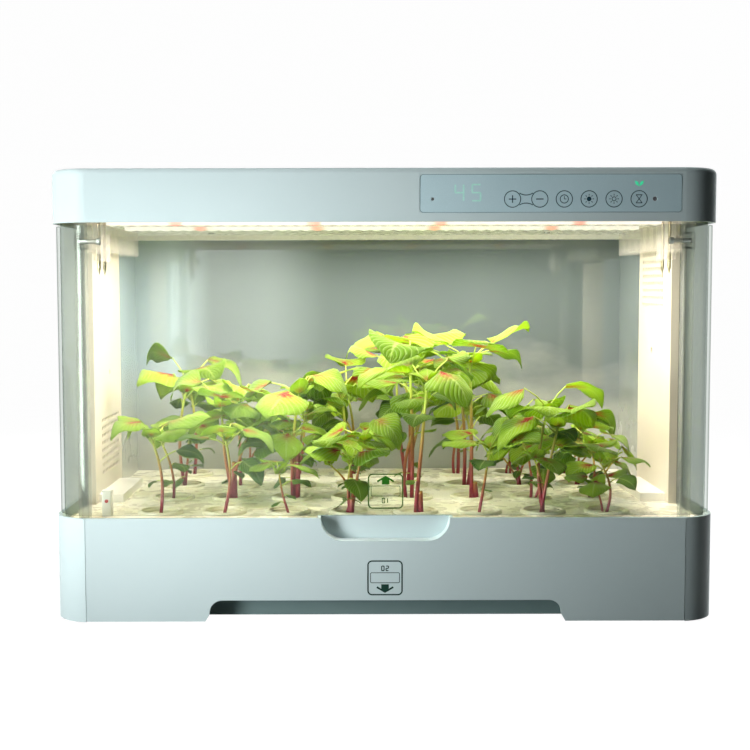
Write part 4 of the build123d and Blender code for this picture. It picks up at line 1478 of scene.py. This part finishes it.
@dataclass
class Studio:
    """White sweep, soft boxes round the cabinet, its own grow lamps, the room that it mirrors and the camera."""

    lens_mm: float = 58.69
    sensor_mm: float = 36.0
    place: Triple = (-0.0256, -1.2331, 0.2886)
    pitch: float = 0.068
    roll: float = -0.0022
    shift: float = 0.0261
    boxes: tuple[SoftLamp, ...] = (
        SoftLamp("gridded_box", (-0.68, -0.7, 0.205), (-0.15, -0.19, 0.205), (0.25, 0.5), 1.68, spread=54.0),
        SoftLamp("right_box", (1.05, 0.85, 0.4), (0.29, 0.0, 0.22), (0.5, 0.5), 2.0, spread=60.0),
        SoftLamp("top_box", (0.0, 0.35, 1.5), (0.0, 0.0, 0.39), (0.8, 0.8), 4.5, spread=120.0),
        SoftLamp("back_box", (-0.3, 1.35, 0.6), (0.0, 0.19, 0.2), (0.8, 0.8), 3.6, spread=120.0),
    )
    grow_tint: str = "#FFF2EC"
    grow_length: float = 0.46
    grow_drop: float = 8.0
    row_width: float = 0.08
    row_watts: float = 1.8
    bounce_width: float = 0.12
    bounce_inset: float = 70.0
    bounce_watts: float = 2.0
    room_strength: float = 3.6
    box_glow: float = 13.0
    sweep_front: float = -0.8
    sweep_back: float = 1.6
    sweep_curve: float = 0.8
    sweep_reach: float = 4.0

    def lights(self) -> None:
        """Hangs the soft boxes, a grow lamp under each row of chips, and the light that the ceiling sends back."""
        for box in self.boxes:
            box.hang()
        rows = [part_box(node) for node in ("front_led_board", "rear_led_board")]
        under = rows[0][0].z - self.grow_drop * MM
        lamps = [
            (f"grow_lamp_{number}", (low.y + high.y) / 2, self.row_width, self.row_watts)
            for number, (low, high) in enumerate(rows, start=1)
        ]
        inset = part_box("lamp_panel")[1].y - self.bounce_inset * MM
        lamps.append(("ceiling_bounce", inset, self.bounce_width, self.bounce_watts))
        for name, y, width, watts in lamps:
            size = (self.grow_length, width)
            SoftLamp(name, (0.0, y, under), (0.0, y, under - 1.0), size, watts, self.grow_tint).hang()

    def world(self) -> None:
        """Lights the room softly, and gives mirrors a white screen and a soft box on the left and a dim right."""
        world = bpy.data.worlds.new("studio_room")
        bpy.context.scene.world = world
        world.use_nodes = True
        tree = world.node_tree
        tree.nodes.clear()
        # Directions from the cabinet: across runs from -1, left, to 1, right, and ahead below 0 is the front.
        across, ahead = tuple(put(tree, "SeparateXYZ", (put(tree, "TexCoord")["Generated"],)))[:2]
        side = put(tree, "MapRange", (across, -0.9, 0.1))[0]
        soft = put(tree, "Mix", {0: side, 6: linear("#282B2B"), 7: linear("#030303")}, data_type="RGBA")[2]
        far = put(tree, "MapRange", (across, 0.1, 0.6))[0]
        dim = put(tree, "Mix", {0: far, 6: linear("#272A2A"), 7: linear("#4C504F")}, data_type="RGBA")[2]
        screen = put(tree, "MapRange", (across, -0.07, -0.025))[0]
        bright = put(tree, "Mix", {0: screen, 6: linear("#FFFFFF"), 7: dim}, data_type="RGBA")[2]
        box = put(tree, "MapRange", (across, -0.54, -0.5, 1.0, 0.0))[0]
        for edge in ((across, -0.68, -0.64), (ahead, -0.1, 0.0, 1.0, 0.0)):
            box = put(tree, "Math", (box, put(tree, "MapRange", edge)[0]), operation="MULTIPLY")[0]
        lit = {0: box, 6: bright, 7: (self.box_glow, self.box_glow, self.box_glow, 1.0)}
        path = put(tree, "LightPath")
        mirrored = {0: path["Is Glossy Ray"], 6: soft, 7: put(tree, "Mix", lit, data_type="RGBA")[2]}
        colour = put(tree, "Mix", mirrored, data_type="RGBA")[2]
        glow = put(tree, "Background", {"Color": colour, "Strength": self.room_strength})[0]
        white = put(tree, "Background", {"Color": linear("#FFFFFF"), "Strength": 1.0})[0]
        seen = put(tree, "MixShader", (path["Is Camera Ray"], glow, white))[0]
        put(tree, "OutputWorld", {"Surface": seen})

    def backdrop(self) -> None:
        """Lays a white sweep under and behind the cabinet, which stays white to the eye but takes the shadow."""
        mesh = bpy.data.meshes.new("white_sweep")
        back, curve, reach = self.sweep_back, self.sweep_curve, self.sweep_reach
        bends = [math.pi * i / 24 for i in range(1, 13)]
        profile = [(self.sweep_front, 0.0), (back, 0.0)]
        profile += [(back + curve * math.sin(a), curve - curve * math.cos(a)) for a in bends]
        profile.append((back + curve, reach))
        points = [Vector((x, y, z)) for y, z in profile for x in (-reach, reach)]
        faces = [(2 * i, 2 * i + 1, 2 * i + 3, 2 * i + 2) for i in range(len(profile) - 1)]
        mesh.from_pydata(points, [], faces)
        mesh.materials.append(WhiteSweep("painted_board_white").material())
        floor = bpy.data.objects.new("white_sweep", mesh)
        bpy.context.scene.collection.objects.link(floor)

    def camera(self) -> None:
        """Stands the camera where the photograph was taken from."""
        data = bpy.data.cameras.new("camera")
        data.lens = self.lens_mm
        data.sensor_width = self.sensor_mm
        data.shift_x = self.shift
        made = bpy.data.objects.new("camera", data)
        turn = Matrix.Rotation(math.pi / 2 - self.pitch, 4, "X") @ Matrix.Rotation(self.roll, 4, "Z")
        made.matrix_world = Matrix.Translation(self.place) @ turn
        bpy.context.scene.collection.objects.link(made)
        bpy.context.scene.camera = made

    def build(self) -> None:
        """Sets up the whole studio."""
        bpy.context.scene.view_settings.view_transform = "Standard"
        self.world()
        self.backdrop()
        self.lights()
        self.camera()


def main() -> None:
    """Builds and dresses the cabinet."""
    logging.basicConfig(level=logging.INFO)
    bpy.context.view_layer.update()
    Studio().build()
    Casework().dress()
    LampBank().build()
    ControlPanel().build()
    UseSigns().build()
    Planting().build()


if __name__ == "__main__":
    main()
